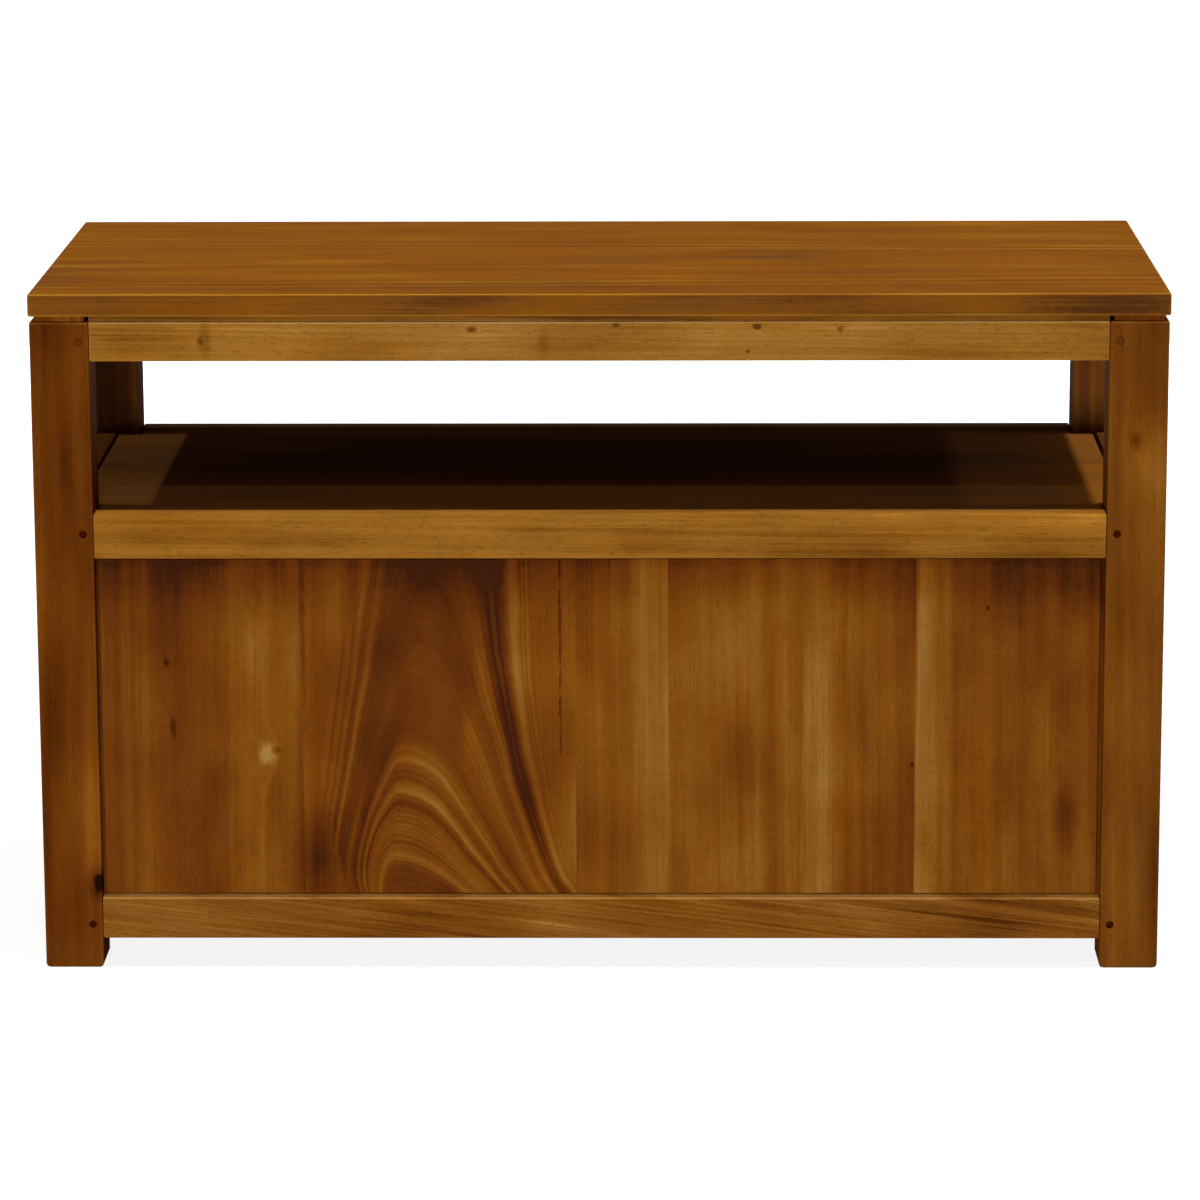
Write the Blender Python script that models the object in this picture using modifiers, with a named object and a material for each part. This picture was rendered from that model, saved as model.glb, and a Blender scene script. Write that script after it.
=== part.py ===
"""Solid-wood tv stand: a pegged post-and-rail frame with floating panels, an open niche and two drawers.

Metres, +Z up. The origin lies on the floor under the middle of the stand. The framed back faces -Y and
the drawers face +Y. Left and right are those of someone who looks at the back.
"""

import math
from dataclasses import dataclass

import bmesh
import bpy
from mathutils import Matrix, Vector

# Frame, from the floor up
FRAME_WIDTH = 1.000  # over the posts
FRAME_DEPTH = 0.450
FOOT_CLEAR = 0.028  # floor to the underside of the low rails
LOW_RAIL_HEIGHT = 0.038
PANEL_HEIGHT = 0.311  # opening between the low and the middle rails
MID_RAIL_HEIGHT = 0.040
NICHE_HEIGHT = 0.137  # opening between the middle and the top rails
TOP_RAIL_HEIGHT = 0.040
TOP_THICK = 0.020
TOP_OVERHANG = 0.001
POST_SIDE = 0.052
RAIL_THICK = 0.022  # rear and front rails
SIDE_RAIL_THICK = 0.030
SHADOW_GAP = 0.005  # the posts and the rails' outer arrises stop this far below the top
LIP_INSET = 0.004  # the lip that carries the top stands back this far from both rail faces

# Joinery
FIT = 0.0003  # clearance between pieces that touch
TENON_THICK = 0.008
TENON_WALL = 0.005  # wood between the two mortises that meet in a post
TENON_ROOT = 0.004  # how far a tenon, lip or tongue is rooted in its own board
MORTISE_ROOM = 0.001  # glue room past the end of a tenon
PLAIN_SHOULDER = 0.005
SHOULDER_WALL = 0.002  # wood between a panel groove and the tenon beside it
PEG_DIAMETER = 0.0065
PEG_INSET = 0.009  # from the post's inner face to the peg's axis
PEG_BITE = 0.008  # how far a peg runs past the tenon
LOW_PEG_DROP = 0.004  # the low rails' pegs sit this far below the middle of the tenon

# Floating panels
PANEL_RECESS = 0.012
PANEL_THICK = 0.010
PANEL_MARGIN = 0.003  # shadow line round the field of a panel
PANEL_FOOT_MARGIN = 0.001
TONGUE_THICK = 0.004
TONGUE_LENGTH = 0.006
TONGUE_ROOM = 0.001  # room for the panel to move in its groove

# Shelf, cleats and top buttons
SHELF_THICK = 0.018
SHELF_DROP = 0.001  # below the upper faces of the middle rails
SHELF_GAP = 0.003  # slot between the shelf and the frame round it
CLEAT_SIDE = 0.016
BUTTON_WIDTH = 0.035
BUTTON_LENGTH = 0.030
BUTTON_HEIGHT = 0.018
BUTTON_TONGUE = 0.008  # both the height and the reach of a button's tongue
BUTTON_PLACE = 0.250  # from the middle of the stand

# Partition, runners and drawers
PARTITION_THICK = 0.022
PARTITION_LIFT = 0.010  # above the underside of the low rails
RUNNER_HEIGHT = 0.018
RUNNER_BITE = 0.005  # how far a runner stands into the groove of the drawer side
RUNNER_ROOM = 0.001
RUNNER_NOSE = 0.012  # from the runner's front end to the drawer front
RUNNER_END_GAP = 0.004
DRAWER_REVEAL = 0.002  # gap round a drawer front
DRAWER_SET = 0.002  # drawer fronts stand back from the frame
DRAWER_FRONT_THICK = 0.020
DRAWER_SIDE_THICK = 0.014
DRAWER_SIDE_GAP = 0.003
DRAWER_SIDE_RISE = 0.010  # above the low rail
DRAWER_HEADROOM = 0.040  # between the drawer sides and the middle rail
DRAWER_BACK_THICK = 0.012
DRAWER_BACK_INSET = 0.010
DRAWER_BACK_ROOM = 0.015  # behind a shut drawer
DRAWER_BOTTOM_THICK = 0.006
DRAWER_BOTTOM_RISE = 0.008
BOTTOM_BITE = 0.005  # depth of the grooves that hold a drawer bottom
DADO_DEPTH = 0.003  # depth of the housings that hold a drawer back
FRONT_LAP = 0.008  # wood left in front of the dovetails
TAIL_COUNT = 4
TAIL_WIDTH = 0.036
TAIL_SLOPE = 1 / 6
NOTCH_WIDTH = 0.110  # finger notch in the upper edge of a drawer front
NOTCH_DEPTH = 0.022

# Eased arrises
FOOT_EASE = 0.0040
POST_EASE = 0.0016
TOP_EASE = 0.0020
BOARD_EASE = 0.0014
INNER_EASE = 0.0008
PEG_EASE = 0.0004

# Facets, and how far a cutter reaches past what it cuts
EASE_SEGMENTS = 2
PEG_FACETS = 16
NOTCH_FACETS = 64
ROUND_LIMIT = math.radians(40)  # facets that meet at less than this are shaded round
PAST = 0.005

# Heights that follow
LOW_TOP = FOOT_CLEAR + LOW_RAIL_HEIGHT
MID_BOTTOM = LOW_TOP + PANEL_HEIGHT
MID_TOP = MID_BOTTOM + MID_RAIL_HEIGHT
NICHE_TOP = MID_TOP + NICHE_HEIGHT
TOP_UNDER = NICHE_TOP + TOP_RAIL_HEIGHT
HEIGHT = TOP_UNDER + TOP_THICK
POST_TOP = TOP_UNDER - SHADOW_GAP
SHELF_TOP = MID_TOP - SHELF_DROP
SHELF_UNDER = SHELF_TOP - SHELF_THICK

# Joints that follow
TENON_DEPTH = ((RAIL_THICK - TENON_THICK) / 2, (RAIL_THICK + TENON_THICK) / 2)
TENON_LENGTH = POST_SIDE - TENON_DEPTH[1] - TENON_WALL
GROOVE_LENGTH = TONGUE_LENGTH + TONGUE_ROOM
GROOVE_SHOULDER = GROOVE_LENGTH + SHOULDER_WALL
PEG_LENGTH = TENON_DEPTH[1] + PEG_BITE
TONGUE_START = PANEL_RECESS + (PANEL_THICK - TONGUE_THICK) / 2
TONGUE_DEPTH = (TONGUE_START, TONGUE_START + TONGUE_THICK)

# Drawer bay that follows: x from the middle of the stand, y from its middle to the front
BAY_INNER = PARTITION_THICK / 2
BAY_OUTER = FRAME_WIDTH / 2 - POST_SIDE
BAY_BACK = -FRAME_DEPTH / 2 + max(RAIL_THICK, PANEL_RECESS + PANEL_THICK)
FRONT_FACE = FRAME_DEPTH / 2 - DRAWER_SET
FRONT_INSIDE = FRONT_FACE - DRAWER_FRONT_THICK
SIDE_BACK = BAY_BACK + DRAWER_BACK_ROOM
SIDE_BOTTOM = LOW_TOP + DRAWER_SIDE_RISE
SIDE_TOP = MID_BOTTOM - DRAWER_HEADROOM
RUNNER_MIDDLE = (SIDE_BOTTOM + SIDE_TOP) / 2
RUNNER_Z = (RUNNER_MIDDLE - RUNNER_HEIGHT / 2, RUNNER_MIDDLE + RUNNER_HEIGHT / 2)
RUNNER_FRONT = FRONT_INSIDE - RUNNER_NOSE
BOTTOM_Z = (SIDE_BOTTOM + DRAWER_BOTTOM_RISE, SIDE_BOTTOM + DRAWER_BOTTOM_RISE + DRAWER_BOTTOM_THICK)

PARTS = bpy.data.collections.new("tv_stand")
CUTTERS = bpy.data.collections.new("tv_stand_cutters")


@dataclass(frozen=True)
class Level:
    """The rails of one height and their tenons."""

    name: str
    bottom: float
    top: float
    tenon: tuple
    peg_z: float


@dataclass(frozen=True)
class Side:
    """One side of the frame seen from outside: x runs along it to the right, depth inwards, z up."""

    name: str
    turn: float
    run: float
    reach: float
    rail_thick: float
    left_post: str
    right_post: str

    def block(self, name, x, depth, z):
        """A box on this side, its depth counted from the outer face of the frame."""
        return block(name, x, [d - self.reach for d in depth], z, self.turn)

    def rod(self, name, radius, facets, x, depth, z):
        """A round rod on this side that runs straight inwards."""
        return rod(name, radius, facets, x, [d - self.reach for d in depth], z, self.turn)


def low_level():
    """Low rails, with the panel groove in their upper edge."""
    tenon = (FOOT_CLEAR + PLAIN_SHOULDER, LOW_TOP - GROOVE_SHOULDER)
    return Level("low", FOOT_CLEAR, LOW_TOP, tenon, sum(tenon) / 2 - LOW_PEG_DROP)


def mid_level():
    """Middle rails, with the panel groove in their lower edge."""
    tenon = (MID_BOTTOM + GROOVE_SHOULDER, MID_TOP - PLAIN_SHOULDER)
    return Level("mid", MID_BOTTOM, MID_TOP, tenon, sum(tenon) / 2)


def top_level():
    """Top rails, level with the posts apart from the lip that carries the top."""
    tenon = (NICHE_TOP + PLAIN_SHOULDER, POST_TOP - PLAIN_SHOULDER)
    return Level("top", NICHE_TOP, POST_TOP, tenon, sum(tenon) / 2)


def frame_sides():
    """The four sides in turn, each a quarter turn on from the last."""
    ring = ("post_rear_left", "post_rear_right", "post_front_right", "post_front_left")
    sides = {}
    for i, name in enumerate(("rear", "right", "front", "left")):
        lengthwise = name in ("rear", "front")
        sides[name] = Side(
            name=name,
            turn=i * math.pi / 2,
            run=FRAME_WIDTH if lengthwise else FRAME_DEPTH,
            reach=(FRAME_DEPTH if lengthwise else FRAME_WIDTH) / 2,
            rail_thick=RAIL_THICK if lengthwise else SIDE_RAIL_THICK,
            left_post=ring[i],
            right_post=ring[(i + 1) % len(ring)],
        )
    return sides


def linear(hex_colour):
    """An sRGB hex colour as linear red, green and blue."""
    channels = [int(hex_colour[i : i + 2], 16) / 255 for i in (1, 3, 5)]
    return [c / 12.92 if c <= 0.04045 else ((c + 0.055) / 1.055) ** 2.4 for c in channels]


def wood(name, hex_colour, roughness):
    """A plain lacquered or bare wood."""
    material = bpy.data.materials.new(name)
    material.use_nodes = True
    shader = material.node_tree.nodes["Principled BSDF"]
    shader.inputs["Base Color"].default_value = (*linear(hex_colour), 1.0)
    shader.inputs["Roughness"].default_value = roughness
    shader.inputs["Metallic"].default_value = 0.0
    return material


def finishes():
    """The woods of the stand by name."""
    return {
        "post": wood("post_wood", "#6B3A12", 0.40),
        "rail": wood("rail_wood", "#8E5C1E", 0.40),
        "top": wood("top_wood", "#86541A", 0.35),
        "shelf": wood("shelf_wood", "#70431A", 0.40),
        "panel": wood("panel_wood", "#744616", 0.42),
        "front": wood("drawer_front_wood", "#80501A", 0.40),
        "inner": wood("unstained_wood", "#A9834F", 0.60),
        "peg": wood("peg_wood", "#2A140A", 0.55),
    }


def mesh_object(name, shape, place, turn):
    """An object of a finished bmesh, at its place and turn about Z."""
    mesh = bpy.data.meshes.new(name)
    shape.to_mesh(mesh)
    shape.free()
    obj = bpy.data.objects.new(name, mesh)
    obj.location = Matrix.Rotation(turn, 3, "Z") @ Vector(place)
    obj.rotation_euler.z = turn
    return obj


def block(name, x, y, z, turn=0.0):
    """A box between two x, two y and two z, with its size in its mesh."""
    spans = [sorted(span) for span in (x, y, z)]
    size = [high - low for low, high in spans]
    shape = bmesh.new()
    bmesh.ops.create_cube(shape, size=1.0, matrix=Matrix.Diagonal((*size, 1.0)))
    return mesh_object(name, shape, [sum(span) / 2 for span in spans], turn)


def wedge(name, x, y, z, slope):
    """A box like block's that narrows in z, by slope on each side, towards its low end in y."""
    obj = block(name, x, y, z)
    half_length = abs(y[1] - y[0]) / 2
    for vertex in obj.data.vertices:
        if vertex.co.y < 0:
            vertex.co.z -= math.copysign(2 * half_length * slope, vertex.co.z)
    return obj


def rod(name, radius, facets, x, y, z, turn=0.0):
    """A round rod along y between two y, at one x and one z."""
    low, high = sorted(y)
    shape = bmesh.new()
    bmesh.ops.create_cone(
        shape,
        cap_ends=True,
        segments=facets,
        radius1=radius,
        radius2=radius,
        depth=high - low,
        matrix=Matrix.Rotation(math.pi / 2, 4, "X"),
    )
    obj = mesh_object(name, shape, (x, (low + high) / 2, z), turn)
    obj.data.shade_smooth()
    obj.data.set_sharp_from_angle(angle=ROUND_LIMIT)
    return obj


def keep(obj, material):
    """Makes an object one of the stand's parts."""
    obj.data.materials.append(material)
    PARTS.objects.link(obj)
    return obj


def helper(obj):
    """Makes an object a hidden cutter or addition."""
    obj.hide_render = True
    obj.display_type = "WIRE"
    CUTTERS.objects.link(obj)
    return obj


def ease(obj, width, segments=EASE_SEGMENTS):
    """Rounds the arrises of a board."""
    bevel = obj.modifiers.new("eased_arrises", "BEVEL")
    bevel.width = width
    bevel.segments = segments
    bevel.limit_method = "ANGLE"
    return obj


def boolean(target, other, operation):
    """Cuts a target by a helper, or joins the helper to it, and ties the helper to the target."""
    modifier = target.modifiers.new(f"{operation.lower()}_{other.name}", "BOOLEAN")
    modifier.operation = operation
    modifier.solver = "EXACT"
    modifier.object = other
    if other.parent is None:
        other.parent = target
        other.matrix_parent_inverse = target.matrix_basis.inverted()


def cut(target, cutter):
    """Takes a cutter's shape out of a target."""
    boolean(target, cutter, "DIFFERENCE")


def fuse(target, addition):
    """Makes an addition part of a target."""
    boolean(target, addition, "UNION")


def wider(span, room=FIT):
    """A span opened by some room at both ends."""
    return (min(span) - room, max(span) + room)


def both(half):
    """The span that lies evenly about the middle."""
    return (-half, half)


def make_post(name, material):
    """A square post whose foot is rounded more than its other arrises."""
    x_sign = 1 if name.endswith("right") else -1
    y_sign = 1 if "front" in name else -1
    half_width = FRAME_WIDTH / 2
    half_depth = FRAME_DEPTH / 2
    post = block(
        name,
        (x_sign * (half_width - POST_SIDE), x_sign * half_width),
        (y_sign * (half_depth - POST_SIDE), y_sign * half_depth),
        (0.0, POST_TOP),
    )
    weights = post.data.attributes.new("bevel_weight_edge", "FLOAT", "EDGE")
    for edge in post.data.edges:
        on_floor = all(post.data.vertices[i].co.z < 0 for i in edge.vertices)
        weights.data[edge.index].value = FOOT_EASE if on_floor else POST_EASE
    # The weights are the widths themselves, in metres, on a bevel of one metre.
    bevel = ease(post, 1.0).modifiers["eased_arrises"]
    bevel.limit_method = "WEIGHT"
    return keep(post, material)


def make_rail(side, level, posts, woods):
    """A rail with a tenon at each end, the mortises that take them and, front and rear, their pegs."""
    half = side.run / 2 - POST_SIDE
    name = f"{level.name}_rail_{side.name}"
    rail = side.block(name, both(half - FIT), (0.0, side.rail_thick), (level.bottom, level.top))
    keep(ease(rail, BOARD_EASE), woods["rail"])
    for end, post_name in ((-1, side.left_post), (1, side.right_post)):
        post = posts[post_name]
        tag = f"{name}_{post_name}"
        reach = (end * (half - TENON_ROOT), end * (half + TENON_LENGTH))
        fuse(rail, helper(side.block(f"tenon_{tag}", reach, TENON_DEPTH, level.tenon)))
        reach = (end * (half - PAST), end * (half + TENON_LENGTH + MORTISE_ROOM))
        mortise = side.block(f"mortise_{tag}", reach, wider(TENON_DEPTH), wider(level.tenon))
        cut(post, helper(mortise))
        if side.name in ("rear", "front"):
            make_peg(side, level, end, post, rail, woods)
    return rail


def make_peg(side, level, end, post, rail, woods):
    """A peg through the post's cheek and the tenon, flush with the post, and its bore."""
    x = end * (side.run / 2 - POST_SIDE + PEG_INSET)
    place = post.name.removeprefix("post_")
    radius = PEG_DIAMETER / 2
    peg = side.rod(f"peg_{level.name}_{place}", radius, PEG_FACETS, x, (0.0, PEG_LENGTH), level.peg_z)
    keep(ease(peg, PEG_EASE, segments=1), woods["peg"])
    depth = (-PAST, PEG_LENGTH + MORTISE_ROOM)
    bore = side.rod(f"bore_{level.name}_{place}", radius + FIT, PEG_FACETS, x, depth, level.peg_z)
    helper(bore)
    cut(post, bore)
    cut(rail, bore)


def add_lip(side, rail):
    """The lip along a top rail that carries the top and leaves the shadow gap."""
    half = side.run / 2 - POST_SIDE - FIT
    depth = (LIP_INSET, side.rail_thick - LIP_INSET)
    lip = side.block(f"lip_{rail.name}", both(half), depth, (POST_TOP - TENON_ROOT, TOP_UNDER))
    fuse(rail, helper(lip))


def make_panel(name, side, rails, posts, material):
    """A panel whose tongue floats in grooves of the rails and posts round it."""
    half = side.run / 2 - POST_SIDE
    height = (LOW_TOP + PANEL_FOOT_MARGIN, MID_BOTTOM - PANEL_MARGIN)
    depth = (PANEL_RECESS, PANEL_RECESS + PANEL_THICK)
    panel = side.block(name, both(half - PANEL_MARGIN), depth, height)
    keep(ease(panel, INNER_EASE, segments=1), material)
    opening = (LOW_TOP, MID_BOTTOM)
    tongue = side.block(
        f"tongue_{name}", both(half + TONGUE_LENGTH), TONGUE_DEPTH, wider(opening, TONGUE_LENGTH)
    )
    fuse(panel, helper(tongue))
    groove = side.block(
        f"groove_{name}", both(half + GROOVE_LENGTH), wider(TONGUE_DEPTH), wider(opening, GROOVE_LENGTH)
    )
    helper(groove)
    for neighbour in (
        rails["low", side.name],
        rails["mid", side.name],
        posts[side.left_post],
        posts[side.right_post],
    ):
        cut(neighbour, groove)


def make_top(material):
    """The top, a slab that stands barely past the frame."""
    top = block(
        "top",
        both(FRAME_WIDTH / 2 + TOP_OVERHANG),
        both(FRAME_DEPTH / 2 + TOP_OVERHANG),
        (TOP_UNDER + FIT, HEIGHT),
    )
    keep(ease(top, TOP_EASE), material)


def make_buttons(side, rail, material):
    """Wooden buttons, screwed under the top, whose tongues sit in slots of a top rail."""
    for word, sign in (("left", -1), ("right", 1)):
        middle = sign * BUTTON_PLACE
        name = f"top_button_{side.name}_{word}"
        width = (middle - BUTTON_WIDTH / 2, middle + BUTTON_WIDTH / 2)
        inside = side.rail_thick + FIT
        low = TOP_UNDER - BUTTON_HEIGHT
        button = side.block(name, width, (inside, inside + BUTTON_LENGTH), (low, TOP_UNDER))
        keep(ease(button, INNER_EASE, segments=1), material)
        reach = (side.rail_thick - BUTTON_TONGUE, inside + BUTTON_LENGTH / 2)
        height = (low + BUTTON_TONGUE / 2, low + BUTTON_TONGUE)
        tongue = side.block(f"tongue_{name}", wider(width, -INNER_EASE), reach, height)
        fuse(button, helper(tongue))
        reach = (side.rail_thick - BUTTON_TONGUE - MORTISE_ROOM, inside + PAST)
        cut(rail, helper(side.block(f"slot_{name}", wider(width), reach, wider(height))))


def make_shelf(material):
    """The shelf inside the ring of middle rails, notched round the posts."""
    inside_x = FRAME_WIDTH / 2 - SIDE_RAIL_THICK - SHELF_GAP
    inside_y = FRAME_DEPTH / 2 - RAIL_THICK - SHELF_GAP
    shelf = block("shelf", both(inside_x), both(inside_y), (SHELF_UNDER, SHELF_TOP))
    keep(ease(shelf, BOARD_EASE), material)
    for x_sign in (-1, 1):
        for y_sign in (-1, 1):
            notch = block(
                f"shelf_notch_{x_sign}_{y_sign}",
                (x_sign * (FRAME_WIDTH / 2 - POST_SIDE - SHELF_GAP), x_sign * FRAME_WIDTH / 2),
                (y_sign * (FRAME_DEPTH / 2 - POST_SIDE - SHELF_GAP), y_sign * FRAME_DEPTH / 2),
                wider((SHELF_UNDER, SHELF_TOP), PAST),
            )
            cut(shelf, helper(notch))


def make_cleat(side, material):
    """A strip on a side middle rail that carries one end of the shelf."""
    half = side.run / 2 - POST_SIDE - FIT
    inside = side.rail_thick + FIT
    top = SHELF_UNDER - FIT
    name = f"shelf_cleat_{side.name}"
    cleat = side.block(name, both(half), (inside, inside + CLEAT_SIDE), (top - CLEAT_SIDE, top))
    keep(ease(cleat, INNER_EASE, segments=1), material)


def make_partition(material):
    """The upright board between the drawers, notched over and under the front rails."""
    half = PARTITION_THICK / 2
    notch_y = (FRAME_DEPTH / 2 - RAIL_THICK - FIT, FRAME_DEPTH)
    foot = FOOT_CLEAR + PARTITION_LIFT
    partition = block(
        "centre_partition", both(half), (BAY_BACK + FIT, FRONT_FACE), (foot, SHELF_UNDER - FIT)
    )
    keep(ease(partition, INNER_EASE, segments=1), material)
    for word, height in (
        ("mid", (MID_BOTTOM - FIT, HEIGHT)),
        ("low", (0.0, LOW_TOP + FIT)),
    ):
        notch = block(f"partition_notch_{word}", both(half + PAST), notch_y, height)
        cut(partition, helper(notch))


def make_runner(name, face, inward, material):
    """A runner on one wall of a drawer bay; inward is the way from that wall into the bay, in x."""
    start = face + inward * FIT
    reach = (start, start + inward * (DRAWER_SIDE_GAP + RUNNER_BITE))
    runner = block(name, reach, (BAY_BACK + RUNNER_END_GAP, RUNNER_FRONT), RUNNER_Z)
    keep(ease(runner, INNER_EASE, segments=1), material)


def make_drawer_front(drawer, sign, woods):
    """A drawer front with a finger notch in its upper edge; the sides cut their own sockets."""
    x = (sign * (BAY_INNER + DRAWER_REVEAL), sign * (BAY_OUTER - DRAWER_REVEAL))
    z = (LOW_TOP + DRAWER_REVEAL, MID_BOTTOM - DRAWER_REVEAL)
    front = block(f"{drawer}_front", x, (FRONT_INSIDE, FRONT_FACE), z)
    keep(ease(front, BOARD_EASE), woods["front"])
    radius = NOTCH_WIDTH**2 / (8 * NOTCH_DEPTH) + NOTCH_DEPTH / 2
    middle = sum(x) / 2
    through = (FRONT_INSIDE - PAST, FRONT_FACE + PAST)
    centre = max(z) + radius - NOTCH_DEPTH
    cut(front, helper(rod(f"{drawer}_notch", radius, NOTCH_FACETS, middle, through, centre)))
    return front


def make_drawer_side(drawer, word, face, inward, front, woods):
    """A drawer side with dovetails at its front end, grooved for its runner, the bottom and the back."""
    name = f"{drawer}_side_{word}"
    outside = face + inward * DRAWER_SIDE_GAP
    inside = outside + inward * DRAWER_SIDE_THICK
    side = block(name, (outside, inside), (SIDE_BACK, FRONT_INSIDE - FIT), (SIDE_BOTTOM, SIDE_TOP))
    keep(ease(side, INNER_EASE, segments=1), woods["inner"])

    tail_end = FRONT_INSIDE + DRAWER_FRONT_THICK - FRONT_LAP
    pitch = (SIDE_TOP - SIDE_BOTTOM) / TAIL_COUNT
    for i in range(TAIL_COUNT):
        middle = SIDE_BOTTOM + pitch * (i + 0.5)
        z = (middle - TAIL_WIDTH / 2, middle + TAIL_WIDTH / 2)
        y = (FRONT_INSIDE - TENON_ROOT, tail_end)
        x = (outside + inward * INNER_EASE, inside - inward * INNER_EASE)
        fuse(side, helper(wedge(f"{name}_tail_{i}", x, y, z, TAIL_SLOPE)))
        socket_x = (outside - inward * (DRAWER_SIDE_GAP + PAST), inside + inward * FIT)
        socket_y = (FRONT_INSIDE - TENON_ROOT, tail_end + FIT)
        cut(front, helper(wedge(f"{name}_socket_{i}", socket_x, socket_y, wider(z), TAIL_SLOPE)))

    groove_x = (outside - inward * PAST, outside + inward * (RUNNER_BITE + RUNNER_ROOM))
    groove_y = (SIDE_BACK - PAST, RUNNER_FRONT + FIT)
    groove_z = (RUNNER_Z[0] - RUNNER_ROOM, RUNNER_Z[1] + FIT)
    cut(side, helper(block(f"{name}_runner_groove", groove_x, groove_y, groove_z)))

    groove_x = (inside + inward * PAST, inside - inward * BOTTOM_BITE)
    groove_y = (SIDE_BACK - PAST, FRONT_INSIDE)
    cut(side, helper(block(f"{name}_bottom_groove", groove_x, groove_y, wider(BOTTOM_Z))))

    housing_x = (inside + inward * PAST, inside - inward * DADO_DEPTH)
    back = SIDE_BACK + DRAWER_BACK_INSET
    housing_y = wider((back, back + DRAWER_BACK_THICK))
    housing_z = (BOTTOM_Z[1], SIDE_TOP + PAST)
    cut(side, helper(block(f"{name}_housing", housing_x, housing_y, housing_z)))
    return inside


def make_drawer(drawer, sign, woods):
    """A drawer of front, sides, back and bottom, parented to an empty on its line of travel."""
    slide = bpy.data.objects.new(f"{drawer}_slide", None)
    slide.location = (sign * (BAY_INNER + BAY_OUTER) / 2, 0.0, RUNNER_MIDDLE)
    PARTS.objects.link(slide)

    front = make_drawer_front(drawer, sign, woods)
    inner = make_drawer_side(drawer, "inner", sign * BAY_INNER, sign, front, woods)
    outer = make_drawer_side(drawer, "outer", sign * BAY_OUTER, -sign, front, woods)
    clear = sorted((inner, outer))

    start = SIDE_BACK + DRAWER_BACK_INSET
    back = block(
        f"{drawer}_back",
        wider(clear, DADO_DEPTH - FIT),
        (start, start + DRAWER_BACK_THICK),
        (BOTTOM_Z[1] + FIT, SIDE_TOP),
    )
    keep(ease(back, INNER_EASE, segments=1), woods["inner"])

    bottom = block(
        f"{drawer}_bottom", wider(clear, BOTTOM_BITE - FIT), (SIDE_BACK, FRONT_INSIDE - FIT), BOTTOM_Z
    )
    keep(bottom, woods["inner"])
    lip_y = (FRONT_INSIDE - BOTTOM_BITE, FRONT_INSIDE + BOTTOM_BITE - FIT)
    fuse(bottom, helper(block(f"{drawer}_bottom_lip", wider(clear, -FIT), lip_y, BOTTOM_Z)))
    groove_y = (FRONT_INSIDE - PAST, FRONT_INSIDE + BOTTOM_BITE)
    cut(front, helper(block(f"{drawer}_front_groove", clear, groove_y, wider(BOTTOM_Z))))

    to_slide = Matrix.Translation(-slide.location)
    for piece in PARTS.objects:
        if piece.name.startswith(drawer) and piece is not slide:
            piece.parent = slide
            piece.matrix_parent_inverse = to_slide


def main():
    """Builds the stand from its frame inwards."""
    for obj in list(bpy.data.objects):
        bpy.data.objects.remove(obj, do_unlink=True)
    for collection in (PARTS, CUTTERS):
        bpy.context.scene.collection.children.link(collection)

    woods = finishes()
    sides = frame_sides()
    posts = {side.left_post: make_post(side.left_post, woods["post"]) for side in sides.values()}
    rails = {}
    for level in (low_level(), mid_level(), top_level()):
        for side in sides.values():
            rails[level.name, side.name] = make_rail(side, level, posts, woods)
    for side in sides.values():
        add_lip(side, rails["top", side.name])

    make_panel("back_panel", sides["rear"], rails, posts, woods["panel"])
    for word in ("left", "right"):
        make_panel(f"side_panel_{word}", sides[word], rails, posts, woods["panel"])
        make_cleat(sides[word], woods["inner"])
    for word in ("rear", "front"):
        make_buttons(sides[word], rails["top", word], woods["inner"])
    make_top(woods["top"])
    make_shelf(woods["shelf"])
    make_partition(woods["rail"])

    for word, sign in (("left", -1), ("right", 1)):
        make_runner(f"runner_{word}_inner", sign * BAY_INNER, sign, woods["inner"])
        make_runner(f"runner_{word}_outer", sign * BAY_OUTER, -sign, woods["inner"])
        make_drawer(f"drawer_{word}", sign, woods)


main()
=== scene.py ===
"""Looks of a solid-wood tv stand: glued-up boards, lacquered woods, studio light and camera.

Metres, +Z up. The framed back faces -Y, where the camera stands, and the drawers face +Y.
"""

import logging
import math
import random
from dataclasses import dataclass, replace
from enum import Enum
from fnmatch import fnmatch
from typing import Optional, Sequence

import bmesh
import bpy
from mathutils import Matrix, Vector


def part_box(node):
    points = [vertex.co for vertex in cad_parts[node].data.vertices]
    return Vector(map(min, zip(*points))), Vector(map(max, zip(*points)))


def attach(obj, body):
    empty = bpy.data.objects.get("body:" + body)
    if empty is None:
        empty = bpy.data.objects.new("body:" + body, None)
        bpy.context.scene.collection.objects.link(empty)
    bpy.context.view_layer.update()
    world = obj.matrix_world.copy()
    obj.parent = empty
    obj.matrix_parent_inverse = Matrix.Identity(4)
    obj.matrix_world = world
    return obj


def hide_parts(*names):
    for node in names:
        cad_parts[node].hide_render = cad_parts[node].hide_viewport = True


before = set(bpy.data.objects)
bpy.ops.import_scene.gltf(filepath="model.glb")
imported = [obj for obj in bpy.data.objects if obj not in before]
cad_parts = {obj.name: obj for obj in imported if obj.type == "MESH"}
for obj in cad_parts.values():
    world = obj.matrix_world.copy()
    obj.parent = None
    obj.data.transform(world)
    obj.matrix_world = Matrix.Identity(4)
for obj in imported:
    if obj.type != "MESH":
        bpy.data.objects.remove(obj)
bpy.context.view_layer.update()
LOG = logging.getLogger("tv_stand")

MM = 0.001
Colour = tuple[float, float, float, float]
Size = tuple[float, float]
Socket = bpy.types.NodeSocket
Board = tuple[Socket, ...]
Stops = tuple[tuple[float, float], ...]
Tree = bpy.types.NodeTree

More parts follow.
